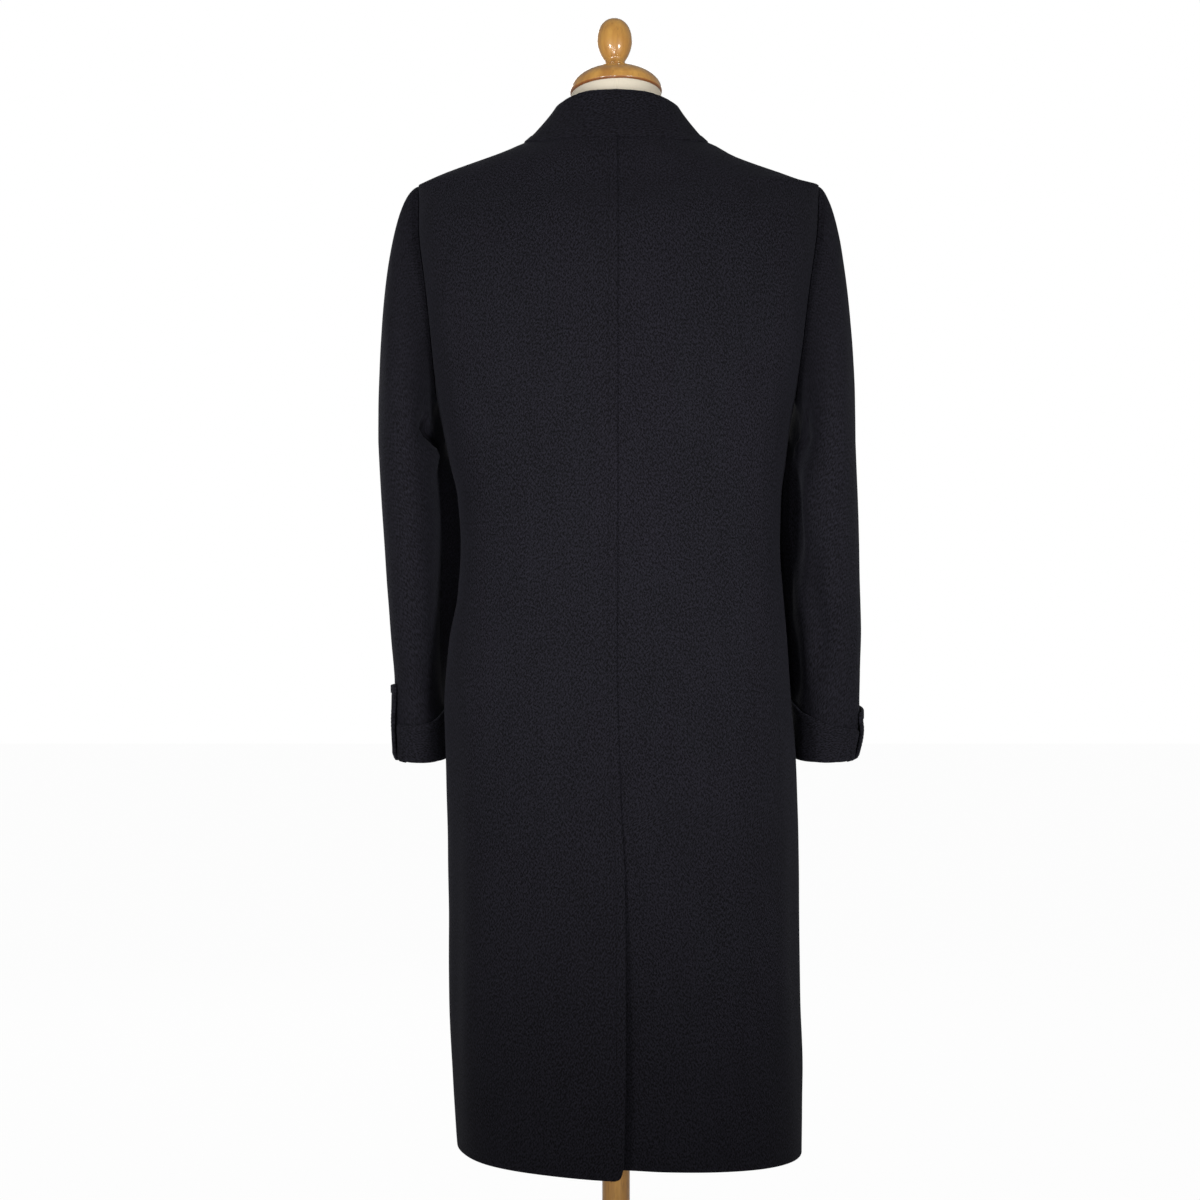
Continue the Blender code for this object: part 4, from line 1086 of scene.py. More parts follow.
# ---------------------------------------------------------------- stitches
def stitch_nodes():
    """The tree that sews along a line: one short thread after another."""
    tree = bpy.data.node_groups.get("sewn_stitches")
    if tree:
        return tree
    tree = bpy.data.node_groups.new("sewn_stitches", "GeometryNodeTree")
    sockets = tree.interface
    sockets.new_socket("Line", in_out="INPUT", socket_type="NodeSocketGeometry")
    for name in ("Pitch", "Thread length", "Thread radius"):
        sockets.new_socket(name, in_out="INPUT", socket_type="NodeSocketFloat")
    sockets.new_socket("Seed", in_out="INPUT", socket_type="NodeSocketInt")
    sockets.new_socket("Thread", in_out="INPUT", socket_type="NodeSocketMaterial")
    sockets.new_socket("Stitches", in_out="OUTPUT", socket_type="NodeSocketGeometry")
    add = tree.nodes.new
    link = tree.links.new
    given = add("NodeGroupInput").outputs

    curve = add("GeometryNodeMeshToCurve")
    link(given["Line"], curve.inputs["Mesh"])
    spaced = add("GeometryNodeResampleCurve")
    spaced.mode = "LENGTH"
    link(curve.outputs["Curve"], spaced.inputs["Curve"])
    link(given["Pitch"], spaced.inputs["Length"])

    thread = add("GeometryNodeMeshUVSphere")
    thread.inputs["Segments"].default_value = 6
    thread.inputs["Rings"].default_value = 5
    thread.inputs["Radius"].default_value = 1.0
    half = add("ShaderNodeMath")
    half.operation = "MULTIPLY"
    half.inputs[1].default_value = 0.5
    link(given["Thread length"], half.inputs[0])
    shape = add("ShaderNodeCombineXYZ")
    link(given["Thread radius"], shape.inputs["X"])
    link(given["Thread radius"], shape.inputs["Y"])
    link(half.outputs["Value"], shape.inputs["Z"])
    sized = add("GeometryNodeTransform")
    link(thread.outputs["Mesh"], sized.inputs["Geometry"])
    link(shape.outputs["Vector"], sized.inputs["Scale"])

    along = add("FunctionNodeAlignRotationToVector")
    along.axis = "Z"
    link(add("GeometryNodeInputTangent").outputs["Tangent"], along.inputs["Vector"])
    tension = add("FunctionNodeRandomValue")
    tension.data_type = "FLOAT"
    tension.inputs[2].default_value = 0.88
    tension.inputs[3].default_value = 1.06
    link(given["Seed"], tension.inputs["Seed"])
    sewn = add("GeometryNodeInstanceOnPoints")
    link(spaced.outputs["Curve"], sewn.inputs["Points"])
    link(sized.outputs["Geometry"], sewn.inputs["Instance"])
    link(along.outputs["Rotation"], sewn.inputs["Rotation"])
    link(tension.outputs[1], sewn.inputs["Scale"])

    real = add("GeometryNodeRealizeInstances")
    link(sewn.outputs["Instances"], real.inputs["Geometry"])
    coloured = add("GeometryNodeSetMaterial")
    link(real.outputs["Geometry"], coloured.inputs["Geometry"])
    link(given["Thread"], coloured.inputs["Material"])
    link(coloured.outputs["Geometry"], add("NodeGroupOutput").inputs["Stitches"])
    return tree


def stitched(name, lines, pitch, length, radius, material):
    """A mesh of stitches sewn along polylines."""
    mesh = bpy.data.meshes.new(name)
    points = []
    edges = []
    for line in lines:
        first = len(points)
        points += line
        edges += [(first + k, first + k + 1) for k in range(len(line) - 1)]
    mesh.from_pydata(points, edges, [])
    line_object = bpy.data.objects.new(name + "_line", mesh)
    bpy.context.scene.collection.objects.link(line_object)
    modifier = line_object.modifiers.new("Stitches", "NODES")
    modifier.node_group = stitch_nodes()
    values = {"Pitch": pitch, "Thread length": length, "Thread radius": radius,
              "Seed": len(points), "Thread": material}
    for item in modifier.node_group.interface.items_tree:
        if item.in_out == "INPUT" and item.name in values:
            modifier[item.identifier] = values[item.name]
    line_object.update_tag()
    graph = bpy.context.evaluated_depsgraph_get()
    sewn = bpy.data.meshes.new_from_object(line_object.evaluated_get(graph))
    bpy.data.objects.remove(line_object)
    sewn.name = name
    sewn.shade_smooth()
    piece = bpy.data.objects.new(name, sewn)
    bpy.context.scene.collection.objects.link(piece)
    return piece


# ---------------------------------------------------------------- turned wood and the form
def closed_rings(name, rings, material, sharp_angle, clockwise=False):
    """A solid through rings of points, bottom to top, closed by flat ends; the rings run
    anticlockwise seen from above, or clockwise."""
    count = len(rings[0])
    faces = []
    for r in range(len(rings) - 1):
        for k in range(count):
            here, after = (k, (k + 1) % count)[::-1 if clockwise else 1]
            low = r * count
            high = low + count
            faces.append((low + here, low + after, high + after, high + here))
    order = range(count)[::-1 if clockwise else 1]
    faces.append(tuple(order[::-1]))
    faces.append(tuple((len(rings) - 1) * count + k for k in order))
    vertices = [point for points in rings for point in points]
    piece = new_piece(name, vertices, faces, material)
    piece.data.set_sharp_from_angle(angle=radians(sharp_angle))
    return piece


def turned(name, profile, material, segments=96):
    """A solid turned about Z from (radius, height) points, bottom to top."""
    turns = [2 * pi * k / segments for k in range(segments)]
    rings = [[Vector((radius * cos(turn), radius * sin(turn), height)) for turn in turns]
             for radius, height in profile]
    return closed_rings(name, rings, material, 50)


def placed(piece, matrix):
    """Move a finished piece's own mesh, so that its object stays at the origin."""
    piece.data.transform(matrix)
    return piece


def arc(centre_radius, centre_height, radius, first, last, steps):
    """Points of a profile's rounded stretch, angles in degrees from outward to upward."""
    points = []
    for k in range(steps + 1):
        turn = radians(mix(first, last, k / steps))
        points.append((centre_radius + radius * cos(turn), centre_height + radius * sin(turn)))
    return points


def cap_matrix():
    """Places the cap and knob on the form's sloping neck."""
    slope = Vector((tan(CAP_LEAN), -tan(CAP_TILT), 1.0))
    turn = slope.to_track_quat("Z", "Y").to_matrix().to_4x4()
    return Matrix.Translation((0.0, 0.0, NECK_TOP)) @ turn


def neck_cap(material):
    """The domed wooden cap, with a small bead under its dome and the stem for the knob."""
    rim = 0.0535
    rise = 0.0288
    profile = [(rim - 0.0040, 0.0003)]
    profile += arc(rim - 0.003, 0.0033, 0.003, -60, 25, 10)
    for k in range(1, 33):
        turn = radians(mix(8, 67, k / 32))
        profile.append((rim * cos(turn), 0.0033 + rise * sin(turn)))
    profile += [(0.0172, 0.0315), (0.0150, 0.0322), (0.0130, 0.0333), (0.0121, 0.0343),
                (0.0119, 0.0348)]
    return placed(turned("form_neck_cap", profile, material), cap_matrix())


def knob(material):
    """The egg-shaped knob on its short neck."""
    low = 0.0351
    radius = 0.0204
    upper = 0.0279
    lower = 0.0315
    middle = low + 0.0300
    profile = [(0.0114, low), (0.0120, low + 0.0006), (0.0119, low + 0.0018),
               (0.0114, low + 0.0030), (0.0115, low + 0.0040)]
    for k in range(49):
        turn = radians(mix(-51, 89.6, k / 48))
        height, blunt = (upper, 0.88) if turn > 0 else (lower, 1.2)
        across = radius * power(cos(turn), blunt)
        profile.append((across, middle + height * power(sin(turn), blunt)))
    return placed(turned("form_knob", profile, material), cap_matrix())


def foot(material):
    profile = arc(FOOT_RADIUS - 0.006, 0.006, 0.006, -90, 0, 8)
    profile += [(FOOT_RADIUS, 0.0095), (FOOT_RADIUS - 0.0012, 0.0102),
                (FOOT_RADIUS - 0.0012, 0.0110)]
    profile += arc(FOOT_RADIUS - 0.0130, FOOT_THICKNESS - 0.0125, 0.0118, 0, 82, 12)
    profile += [(0.110, FOOT_THICKNESS + 0.0010), (0.070, FOOT_THICKNESS + 0.0030),
                (0.060, FOOT_THICKNESS + 0.0040), (0.050, FOOT_THICKNESS + 0.0072),
                (0.040, FOOT_THICKNESS + 0.0120), (0.0345, FOOT_THICKNESS + 0.0190),
                (0.0300, FOOT_THICKNESS + 0.0300), (0.0278, FOOT_THICKNESS + 0.0400)]
    profile += arc(0.0250, FOOT_THICKNESS + 0.0470, 0.0026, -30, 88, 6)
    return turned("form_foot", profile, material, segments=128)


def pole(material):
    low = FOOT_THICKNESS + 0.050 + SEAM_GAP
    high = BUST_BOTTOM - SEAM_GAP
    profile = [(POLE_RADIUS - 0.001, low), (POLE_RADIUS, low + 0.001)]
    profile += [(POLE_RADIUS, mix(low, high, k / 12)) for k in range(1, 12)]
    profile += [(POLE_RADIUS, high - 0.001), (POLE_RADIUS - 0.001, high)]
    return turned("form_pole", profile, material, segments=48)


TORSO_COLUMNS = 144
TORSO_ROWS = 110
FORM_SEAM_DEPTH = 0.0011
FORM_SEAM_WIDTH = 0.0010
FORM_SHOULDER = 1.388     # above this height the form follows the coat's shoulders,
FORM_INSET = 0.0060       # this far inside them
FORM_HALF = 0.2200        # and no wider than this on each side


def bust_ring(height):
    """Half widths left and right, depths back and front, and squareness of the form."""
    if height < FORM_SHOULDER:
        return [BUST.read(height, name) for name in ("half", "half", "back", "front", "square")]
    above = height + SHOULDER_DROP
    sizes = [min(BODY.read(above, "left"), FORM_HALF), min(BODY.read(above, "right"), FORM_HALF),
             BODY.read(above, "back") - FORM_INSET, BODY.read(above, "front") - FORM_INSET]
    share = NECK_BLEND.read(height, "share")
    return [*(mix(size, NECK_RADIUS, share) for size in sizes),
            mix(BODY.read(above, "square"), 2.0, share)]


def torso_row(height, tilt=0.0, inset=0.0):
    """One ring of the form, with its calico's seams pressed in at the centre back and front."""
    left, right, back, front, square = bust_ring(height)
    row = []
    for k in range(TORSO_COLUMNS):
        angle = 2 * pi * k / TORSO_COLUMNS
        angle -= 0.35 * sin(2 * angle) * ease(height, 1.40, 1.30) * 0.4
        angle -= 0.10 * sin(2 * angle)
        across = power(sin(angle), 2 / square)
        along = power(cos(angle), 2 / square)
        x = across * ((left if across >= 0 else right) - inset)
        y = along * ((back if along >= 0 else front) - inset)
        slope = y * tan(CAP_TILT) - x * tan(CAP_LEAN)
        groove = FORM_SEAM_DEPTH * exp(-(x / FORM_SEAM_WIDTH) ** 2)
        point = Vector((x, y, height + slope * tilt))
        row.append(point - Vector((0.0, power(cos(angle), 1) * groove, 0.0)))
    return row


def torso(material):
    """The calico-covered form: hips to neck, with a flat floor and a sloping flat neck."""
    rows = [torso_row(BUST_BOTTOM, inset=0.006), torso_row(BUST_BOTTOM + 0.001, inset=0.003),
            torso_row(BUST_BOTTOM + 0.003, inset=0.0006)]
    for k in range(TORSO_ROWS + 1):
        height = mix(BUST_BOTTOM + 0.006, NECK_TOP - 0.0015, k / TORSO_ROWS)
        rows.append(torso_row(height, tilt=ease(height, 1.465, 1.495)))
    rows.append(torso_row(NECK_TOP - 0.0003, tilt=1.0, inset=0.0004))
    rows.append(torso_row(NECK_TOP, tilt=1.0, inset=0.0012))
    return closed_rings("form_torso", rows, material, 60, clockwise=True)


# ---------------------------------------------------------------- buttons
def button_matrix(height):
    """Seats a button on the left front, facing out."""
    point = body_point(0.0, height, -1)
    normal = body_normal(point)
    turn = normal.to_track_quat("Z", "Y").to_matrix().to_4x4()
    return Matrix.Translation(point + normal * BUTTON_LIFT) @ turn


def button(number, height, hole_spacing, material):
    """A turned horn button: a raised rim, a dished middle and four sewing holes."""
    rim = BUTTON_RADIUS
    thick = BUTTON_THICKNESS
    profile = [(rim - 0.0030, 0.0), (rim - 0.0012, 0.0003), (rim - 0.0003, 0.0011),
               (rim, 0.0020), (rim, thick - 0.0019)]
    profile += arc(rim - 0.0014, thick - 0.0014, 0.0014, 10, 90, 7)
    profile += [(rim - 0.0024, thick - 0.0001), (rim - 0.0034, thick - 0.0006),
                (rim - 0.0042, thick - 0.0012), (rim - 0.0056, thick - 0.0016),
                (rim - 0.0085, thick - 0.0018), (0.0002, thick - 0.0019)]
    disc = turned(f"front_button_{number}", profile, material, segments=72)
    for k in range(4):
        turn = pi / 4 + pi / 2 * k
        reach = hole_spacing / sqrt(2)
        drill = turned("drill", [(0.0009, -0.002), (0.0009, thick + 0.002)], material, 16)
        placed(drill, Matrix.Translation((reach * cos(turn), reach * sin(turn), 0.0)))
        cut = disc.modifiers.new("Hole", "BOOLEAN")
        cut.object = drill
        cut.solver = "EXACT"
        graph = bpy.context.evaluated_depsgraph_get()
        drilled = bpy.data.meshes.new_from_object(disc.evaluated_get(graph))
        disc.modifiers.remove(cut)
        disc.data = drilled
        bpy.data.objects.remove(drill)
    disc.data.name = disc.name
    return placed(disc, button_matrix(height))


def button_thread_lines(height, hole_spacing):
    """Two bars of thread over a button's middle, from hole to hole."""
    half = hole_spacing / 2
    seat = button_matrix(height)
    lines = []
    for side in (-1, 1):
        for strand in (-0.00035, 0.00035):
            line = []
            for k in range(9):
                share = k / 8 * 2 - 1
                high = BUTTON_THICKNESS - 0.0022 + 0.0009 * (1 - share ** 4)
                line.append(seat @ Vector((side * half + strand, share * half, high)))
            lines.append(line)
    return lines


def buttonhole_lines(height):
    """The edge of a worked buttonhole, as a long narrow loop on the left front."""
    line = []
    for k in range(41):
        turn = 2 * pi * k / 40
        x = 0.0105 + 0.0125 * power(cos(turn), 0.6)
        z = height + 0.0013 * power(sin(turn), 0.8)
        line.append(on_body(x, z, -1, 0.0004))
    return [line]


# ---------------------------------------------------------------- finishes
class Value:
    """A shader socket that arithmetic can be written with."""

    def __init__(self, recipe, socket):
        self.recipe = recipe
        self.socket = socket

    def __add__(self, other):
        return self.recipe.maths("ADD", self, other)

    def __sub__(self, other):
        return self.recipe.maths("SUBTRACT", self, other)

    def __rsub__(self, other):
        return self.recipe.maths("SUBTRACT", other, self)

    def __mul__(self, other):
        return self.recipe.maths("MULTIPLY", self, other)

    __radd__ = __add__
    __rmul__ = __mul__


class Recipe:
    """One material and the nodes that its finish is mixed from."""

    def __init__(self, name):
        self.material = bpy.data.materials.new(name)
        self.material.use_nodes = True
        self.tree = self.material.node_tree
        self.shader = self.tree.nodes["Principled BSDF"]

    def feed(self, socket, value):
        if isinstance(value, Value):
            self.tree.links.new(value.socket, socket)
        else:
            socket.default_value = value

    def node(self, kind, settings=None, sockets=None):
        """Add a node: its settings first, then the values or links of its sockets."""
        node = self.tree.nodes.new(kind)
        for name, value in (settings or {}).items():
            setattr(node, name, value)
        for name, value in (sockets or {}).items():
            self.feed(node.inputs[name], value)
        return node

    def value(self, kind, output, settings=None, sockets=None):
        return Value(self, self.node(kind, settings, sockets).outputs[output])

    def maths(self, operation, *values):
        return self.value("ShaderNodeMath", 0, {"operation": operation}, dict(enumerate(values)))

    def sine(self, value):
        return self.maths("SINE", value)

    def clamped(self, value, low, high):
        """0 at low, 1 at high and smooth between."""
        settings = {"interpolation_type": "SMOOTHSTEP"}
        sockets = {"Value": value, "From Min": low, "From Max": high}
        return self.value("ShaderNodeMapRange", 0, settings, sockets)

    def noise(self, place, scale, detail=2.0, roughness=0.5):
        sockets = {"Vector": place, "Scale": scale, "Detail": detail, "Roughness": roughness}
        return self.value("ShaderNodeTexNoise", "Fac", None, sockets)

    def blend(self, share, first, second):
        """A colour between two others."""
        settings = {"data_type": "RGBA"}
        return self.value("ShaderNodeMix", 2, settings, {0: share, 6: first, 7: second})

    def place(self):
        return self.value("ShaderNodeTexCoord", "Object")

    def stretched(self, place, scale, turn=0.0):
        sockets = {"Vector": place, "Scale": scale, "Rotation": (0.0, 0.0, turn)}
        return self.value("ShaderNodeMapping", 0, None, sockets)

    def part(self, place, axis):
        return self.value("ShaderNodeSeparateXYZ", axis, None, {0: place})

    def bump(self, height, distance, strength=1.0):
        sockets = {"Height": height, "Distance": distance, "Strength": strength}
        self.feed(self.shader.inputs["Normal"], self.value("ShaderNodeBump", 0, None, sockets))

    def finish(self, colour, roughness, constants):
        """Feed the shader; what is the same all over is set on its own socket."""
        self.feed(self.shader.inputs["Base Color"], colour)
        self.feed(self.shader.inputs["Roughness"], roughness)
        for name, value in constants.items():
            self.shader.inputs[name].default_value = value
        return self.material


def toned(colour, factor):
    """A colour made lighter or darker, with its opacity."""
    return (*(min(part * factor, 1.0) for part in colour), 1.0)


def overcoating(cloth):
    """Navy-black wool: a fine diagonal twill under a short brushed nap."""
    recipe = Recipe("navy_overcoating")
    chart = recipe.value("ShaderNodeUVMap", 0, {"uv_map": "cloth"})
    u = recipe.part(chart, "X")
    v = recipe.part(chart, "Y")
    place = recipe.place()
    wander = recipe.noise(place, 160.0, 2.0)
    rib = recipe.sine((u * 0.78 + v * 0.62) * (2 * pi / cloth.twill) + wander * 7.0)
    fleck = recipe.noise(recipe.stretched(chart, (1.0, 0.6, 1.0), radians(-38)), 600.0, 1.0, 0.5)
    cross = recipe.noise(recipe.stretched(chart, (1.0, 0.6, 1.0), radians(42)), 560.0, 1.0, 0.5)
    nap = recipe.noise(place, 1300.0, 2.0, 0.6)
    brushed = recipe.noise(recipe.stretched(place, (1.0, 1.0, 0.35)), 60.0, 3.0)
    shade = recipe.noise(place, 6.0, 2.0)
    tone = (rib * 0.10 + (fleck - 0.5) * 2.8 + (cross - 0.5) * 2.1 + (nap - 0.5) * 0.8
            + (brushed - 0.5) * 0.3 + (shade - 0.5) * 0.25 + 0.5)
    colour = recipe.blend(tone, toned(cloth.colour, 0.30), toned(cloth.colour, 1.70))
    recipe.bump(rib * 0.22 + fleck * 0.7 + nap * cloth.nap, 0.0004, 0.8)
    return recipe.finish(colour, 0.90 + (fleck - 0.5) * 0.1, {
        "Specular IOR Level": 0.10, "Diffuse Roughness": 0.4, "Sheen Weight": 0.03,
        "Sheen Roughness": 0.45, "Sheen Tint": (0.62, 0.66, 0.80, 1.0)})


def silk_thread(cloth):
    """The twisted thread that the edges are sewn with, a shade off the cloth."""
    recipe = Recipe("navy_thread")
    twist = recipe.sine(recipe.noise(recipe.place(), 900.0, 1.0) * 24.0)
    colour = recipe.blend(twist * 0.5 + 0.5, toned(cloth.colour, 0.55), toned(cloth.colour, 1.15))
    recipe.bump(twist, 0.0001)
    return recipe.finish(colour, 0.70 + twist * 0.05, {"Specular IOR Level": 0.15})


def calico(form):
    """Unbleached calico: a close plain weave with slubs and a little colour of its own."""
    recipe = Recipe("cream_calico")
    place = recipe.place()
    around = recipe.noise(recipe.stretched(place, (1.0, 1.0, 14.0)), 90.0, 3.0, 0.6)
    upright = recipe.noise(recipe.stretched(place, (10.0, 10.0, 0.8)), 90.0, 3.0, 0.6)
    weave = recipe.noise(place, 1500.0, 1.0)
    slub = recipe.clamped(recipe.noise(recipe.stretched(place, (1.0, 1.0, 9.0)), 26.0, 2.0),
                          0.60, 0.78)
    cloudy = recipe.noise(place, 11.0, 2.0)
    across = recipe.part(place, "X")
    seam = recipe.clamped(across * across, 0.0016 ** 2, 0.0005 ** 2)
    tone = around * 0.5 + upright * 0.5 + (weave - 0.5) * 0.4 + (cloudy - 0.5) * 0.4
    plain = recipe.blend(tone, toned(form.calico, 0.90), toned(form.calico, 1.06))
    colour = recipe.blend(slub * 0.35 + seam, plain, toned(form.calico, 0.78))
    recipe.bump(around + upright + weave * 0.6 + slub, 0.00025, 0.7)
    return recipe.finish(colour, 0.82 + (weave - 0.5) * 0.1, {
        "Specular IOR Level": 0.25, "Sheen Weight": 0.10, "Sheen Roughness": 0.5})


def varnished_beech(name, form, grain):
    """Beech with its short brown flecks, under a glossy varnish; grain stretches the figure.
    Painted shade darkens the cap's lower edge where it sits on the calico.
    """
    recipe = Recipe(name)
    place = recipe.place()
    along = recipe.stretched(place, grain)
    wide = recipe.noise(along, 22.0, 3.0, 0.55)
    line = recipe.noise(along, 95.0, 4.0, 0.65)
    fleck = recipe.clamped(recipe.noise(along, 330.0, 2.0, 0.5), 0.58, 0.74)
    cloudy = recipe.noise(place, 16.0, 2.0)
    tone = recipe.clamped(wide * 0.55 + line * 0.45 + (cloudy - 0.5) * 0.25, 0.30, 0.72)
    plain = recipe.blend(tone, toned(form.wood_dark, 1.0), toned(form.wood_light, 1.0))
    flecked = recipe.blend(fleck * 0.45, plain, toned(form.wood_dark, 0.72))
    # Painted shade: the lowest few millimetres of the cap, where it meets the calico, are blended
    # towards a dark red-brown shade colour.
    height = (recipe.part(place, "Z") - recipe.part(place, "Y") * tan(CAP_TILT)
              + recipe.part(place, "X") * tan(CAP_LEAN) - NECK_TOP) * cos(CAP_TILT)
    rim = recipe.clamped(height, 0.0036, 0.0016) * recipe.clamped(height, -0.02, -0.01)
    colour = recipe.blend(rim * 0.8, flecked, toned(form.cap_shade_colour, 1.0))
    recipe.bump(line + fleck * -0.6, 0.00008, 0.35)
    return recipe.finish(colour, 0.34 + tone * 0.08, {
        "Specular IOR Level": 0.5, "Coat Weight": 0.85, "Coat Roughness": 0.07, "Coat IOR": 1.5})


def buffalo_horn(form):
    """Dark horn: streaks of brown in black, polished."""
    recipe = Recipe("dark_horn")
    place = recipe.place()
    streak = recipe.noise(recipe.stretched(place, (1.0, 1.0, 0.25)), 210.0, 4.0, 0.6)
    cloud = recipe.noise(place, 80.0, 2.0)
    tone = recipe.clamped(streak * 0.7 + cloud * 0.3, 0.42, 0.72)
    colour = recipe.blend(tone, toned(form.horn, 0.5), toned(form.horn, 2.6))
    recipe.bump(streak, 0.00005, 0.3)
    return recipe.finish(colour, 0.28 + streak * 0.1, {"Specular IOR Level": 0.5})


def finish_for(name, make):
    """The finish of this name, made the first time that it is asked for."""
    return bpy.data.materials.get(name) or make()


# ---------------------------------------------------------------- settings
class ClothSettings(bpy.types.PropertyGroup):
    """The coat's cloth."""

    colour: FloatVectorProperty(
        name="Cloth colour", description="Middle colour of the wool", subtype="COLOR",
        size=3, min=0.0, max=1.0, default=(0.0077, 0.0073, 0.0106))
    twill: FloatProperty(
        name="Twill", description="Width of one diagonal rib of the weave",
        default=0.0026, min=0.0005, max=0.02, unit="LENGTH", precision=4)
    nap: FloatProperty(
        name="Nap", description="How rough the brushed nap stands", default=0.5,
        min=0.0, max=1.0, subtype="FACTOR")


class SewingSettings(bpy.types.PropertyGroup):
    """The stitches along the coat's edges."""

    pitch: FloatProperty(
        name="Pitch", description="From one stitch to the next",
        default=0.0044, min=0.001, max=0.02, unit="LENGTH", precision=4)
    thread_length: FloatProperty(
        name="Stitch length", description="Length of thread that shows in one stitch",
        default=0.0033, min=0.0005, max=0.02, unit="LENGTH", precision=4)
    thread_radius: FloatProperty(
        name="Thread radius", description="Half the width of the thread",
        default=0.00032, min=0.0001, max=0.002, unit="LENGTH", precision=5)
    hole_spacing: FloatProperty(
        name="Button holes", description="Distance between a button's sewing holes",
        default=0.0048, min=0.003, max=0.008, unit="LENGTH", precision=4)


class FormSettings(bpy.types.PropertyGroup):
    """The form, its stand and the coat's buttons."""

    calico: FloatVectorProperty(
        name="Calico", description="Colour of the form's cover", subtype="COLOR",
        size=3, min=0.0, max=1.0, default=(0.66, 0.578, 0.473))
    wood_light: FloatVectorProperty(
        name="Light wood", description="Lightest colour of the varnished wood",
        subtype="COLOR", size=3, min=0.0, max=1.0, default=(0.78, 0.420, 0.085))
    wood_dark: FloatVectorProperty(
        name="Dark wood", description="Darkest colour of the varnished wood",
        subtype="COLOR", size=3, min=0.0, max=1.0, default=(0.45, 0.190, 0.034))
    # Painted shade, not a stain: the dark red-brown painted along the cap's lower edge.
    cap_shade_colour: FloatVectorProperty(
        name="Cap's painted shade", description="Colour of the shade painted along the cap's lower edge",
        subtype="COLOR", size=3, min=0.0, max=1.0, default=(0.20, 0.045, 0.012))
    horn: FloatVectorProperty(
        name="Horn", description="Middle colour of the buttons", subtype="COLOR",
        size=3, min=0.0, max=1.0, default=(0.016, 0.011, 0.008))


class StudioSettings(bpy.types.PropertyGroup):
    """The stage and its light."""

    daylight: FloatProperty(
        name="Daylight", description="How brightly the white all round lights things",
        default=0.26, min=0.0, max=10.0)
    softboxes: FloatProperty(
        name="Softboxes", description="Brightness of the large lights, as a share",
        default=1.0, min=0.0, max=10.0)
    floor: FloatVectorProperty(
        name="Floor", description="Colour of the floor", subtype="COLOR",
        size=3, min=0.0, max=1.0, default=(0.92, 0.92, 0.92))


class OvercoatSettings(bpy.types.PropertyGroup):
    """All that a user may change on the coat and its stage."""

    cloth: PointerProperty(type=ClothSettings, name="Cloth", description="The coat's cloth")
    sewing: PointerProperty(type=SewingSettings, name="Sewing", description="Its stitches")
    form: PointerProperty(type=FormSettings, name="Form", description="The form and buttons")
    studio: PointerProperty(type=StudioSettings, name="Studio", description="Stage and light")


def declare_cloth(cut, nodes):
    """Tell the frame whose place a cut takes: hide those solids and hang the cut from the root."""
    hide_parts(*nodes.split())
    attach(cut.piece, "root")


def declare_solid(piece, node):
    """Tell the frame which solid a finer piece stands for."""
    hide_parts(node)
    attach(piece, "root")


def declare_sewing(piece):
    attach(piece, "root")


def coat_cloth(settings):
    return finish_for("navy_overcoating", lambda: overcoating(settings.cloth))


def coat_thread(settings):
    return finish_for("navy_thread", lambda: silk_thread(settings.cloth))


def edge_stitches(name, lines, settings):
    """Stitches along a coat's edges, in its own thread."""
    sewing = settings.sewing
    declare_sewing(stitched(name, lines, sewing.pitch, sewing.thread_length,
                            sewing.thread_radius, coat_thread(settings)))


# ---------------------------------------------------------------- operators
class OVERCOAT_OT_form(bpy.types.Operator):
    """Make the calico-covered form that the coat hangs on"""

    bl_idname = "overcoat.form"
    bl_label = "Form"

    def execute(self, context):
        form = context.scene.overcoat.form
        cover = finish_for("cream_calico", lambda: calico(form))
        declare_solid(torso(cover), "bust")
        return {"FINISHED"}


class OVERCOAT_OT_stand(bpy.types.Operator):
    """Turn the wooden cap, knob, pole and foot"""

    bl_idname = "overcoat.stand"
    bl_label = "Stand and cap"

    def execute(self, context):
        form = context.scene.overcoat.form
        upright = finish_for("upright_beech",
                             lambda: varnished_beech("upright_beech", form, (1.0, 1.0, 0.12)))
        flat = finish_for("flat_beech",
                          lambda: varnished_beech("flat_beech", form, (0.12, 1.0, 1.0)))
        declare_solid(neck_cap(upright), "neck_cap")
        declare_solid(knob(upright), "finial")
        declare_solid(pole(upright), "pole")
        declare_solid(foot(flat), "foot")
        return {"FINISHED"}


class OVERCOAT_OT_backs(bpy.types.Operator):
    """Cut the two backs and sew the lapped seam that opens into the vent"""

    bl_idname = "overcoat.backs"
    bl_label = "Backs"

    def execute(self, context):
        settings = context.scene.overcoat
        cloth = coat_cloth(settings)
        left_rows = panel_rows(1, 1, HEM_BACK[1], NECK_BACK, BACK_DROP)
        right_rows = panel_rows(-1, 1, HEM_BACK[-1], NECK_BACK, BACK_DROP)
        left = panel("left_back", 1, 1, left_rows, back_edge_x, STITCH_MARGIN,
                     back_left_form, cloth)
        right = panel("right_back", -1, 1, right_rows, under_edge_x, 0.0,
                      back_right_form, cloth)
        declare_cloth(left, "back_left")
        declare_cloth(right, "back_right")
        seam = stitch_line(left, "start", 2, -3)
        edge_stitches("back_seam_stitches", [seam], settings)
        return {"FINISHED"}


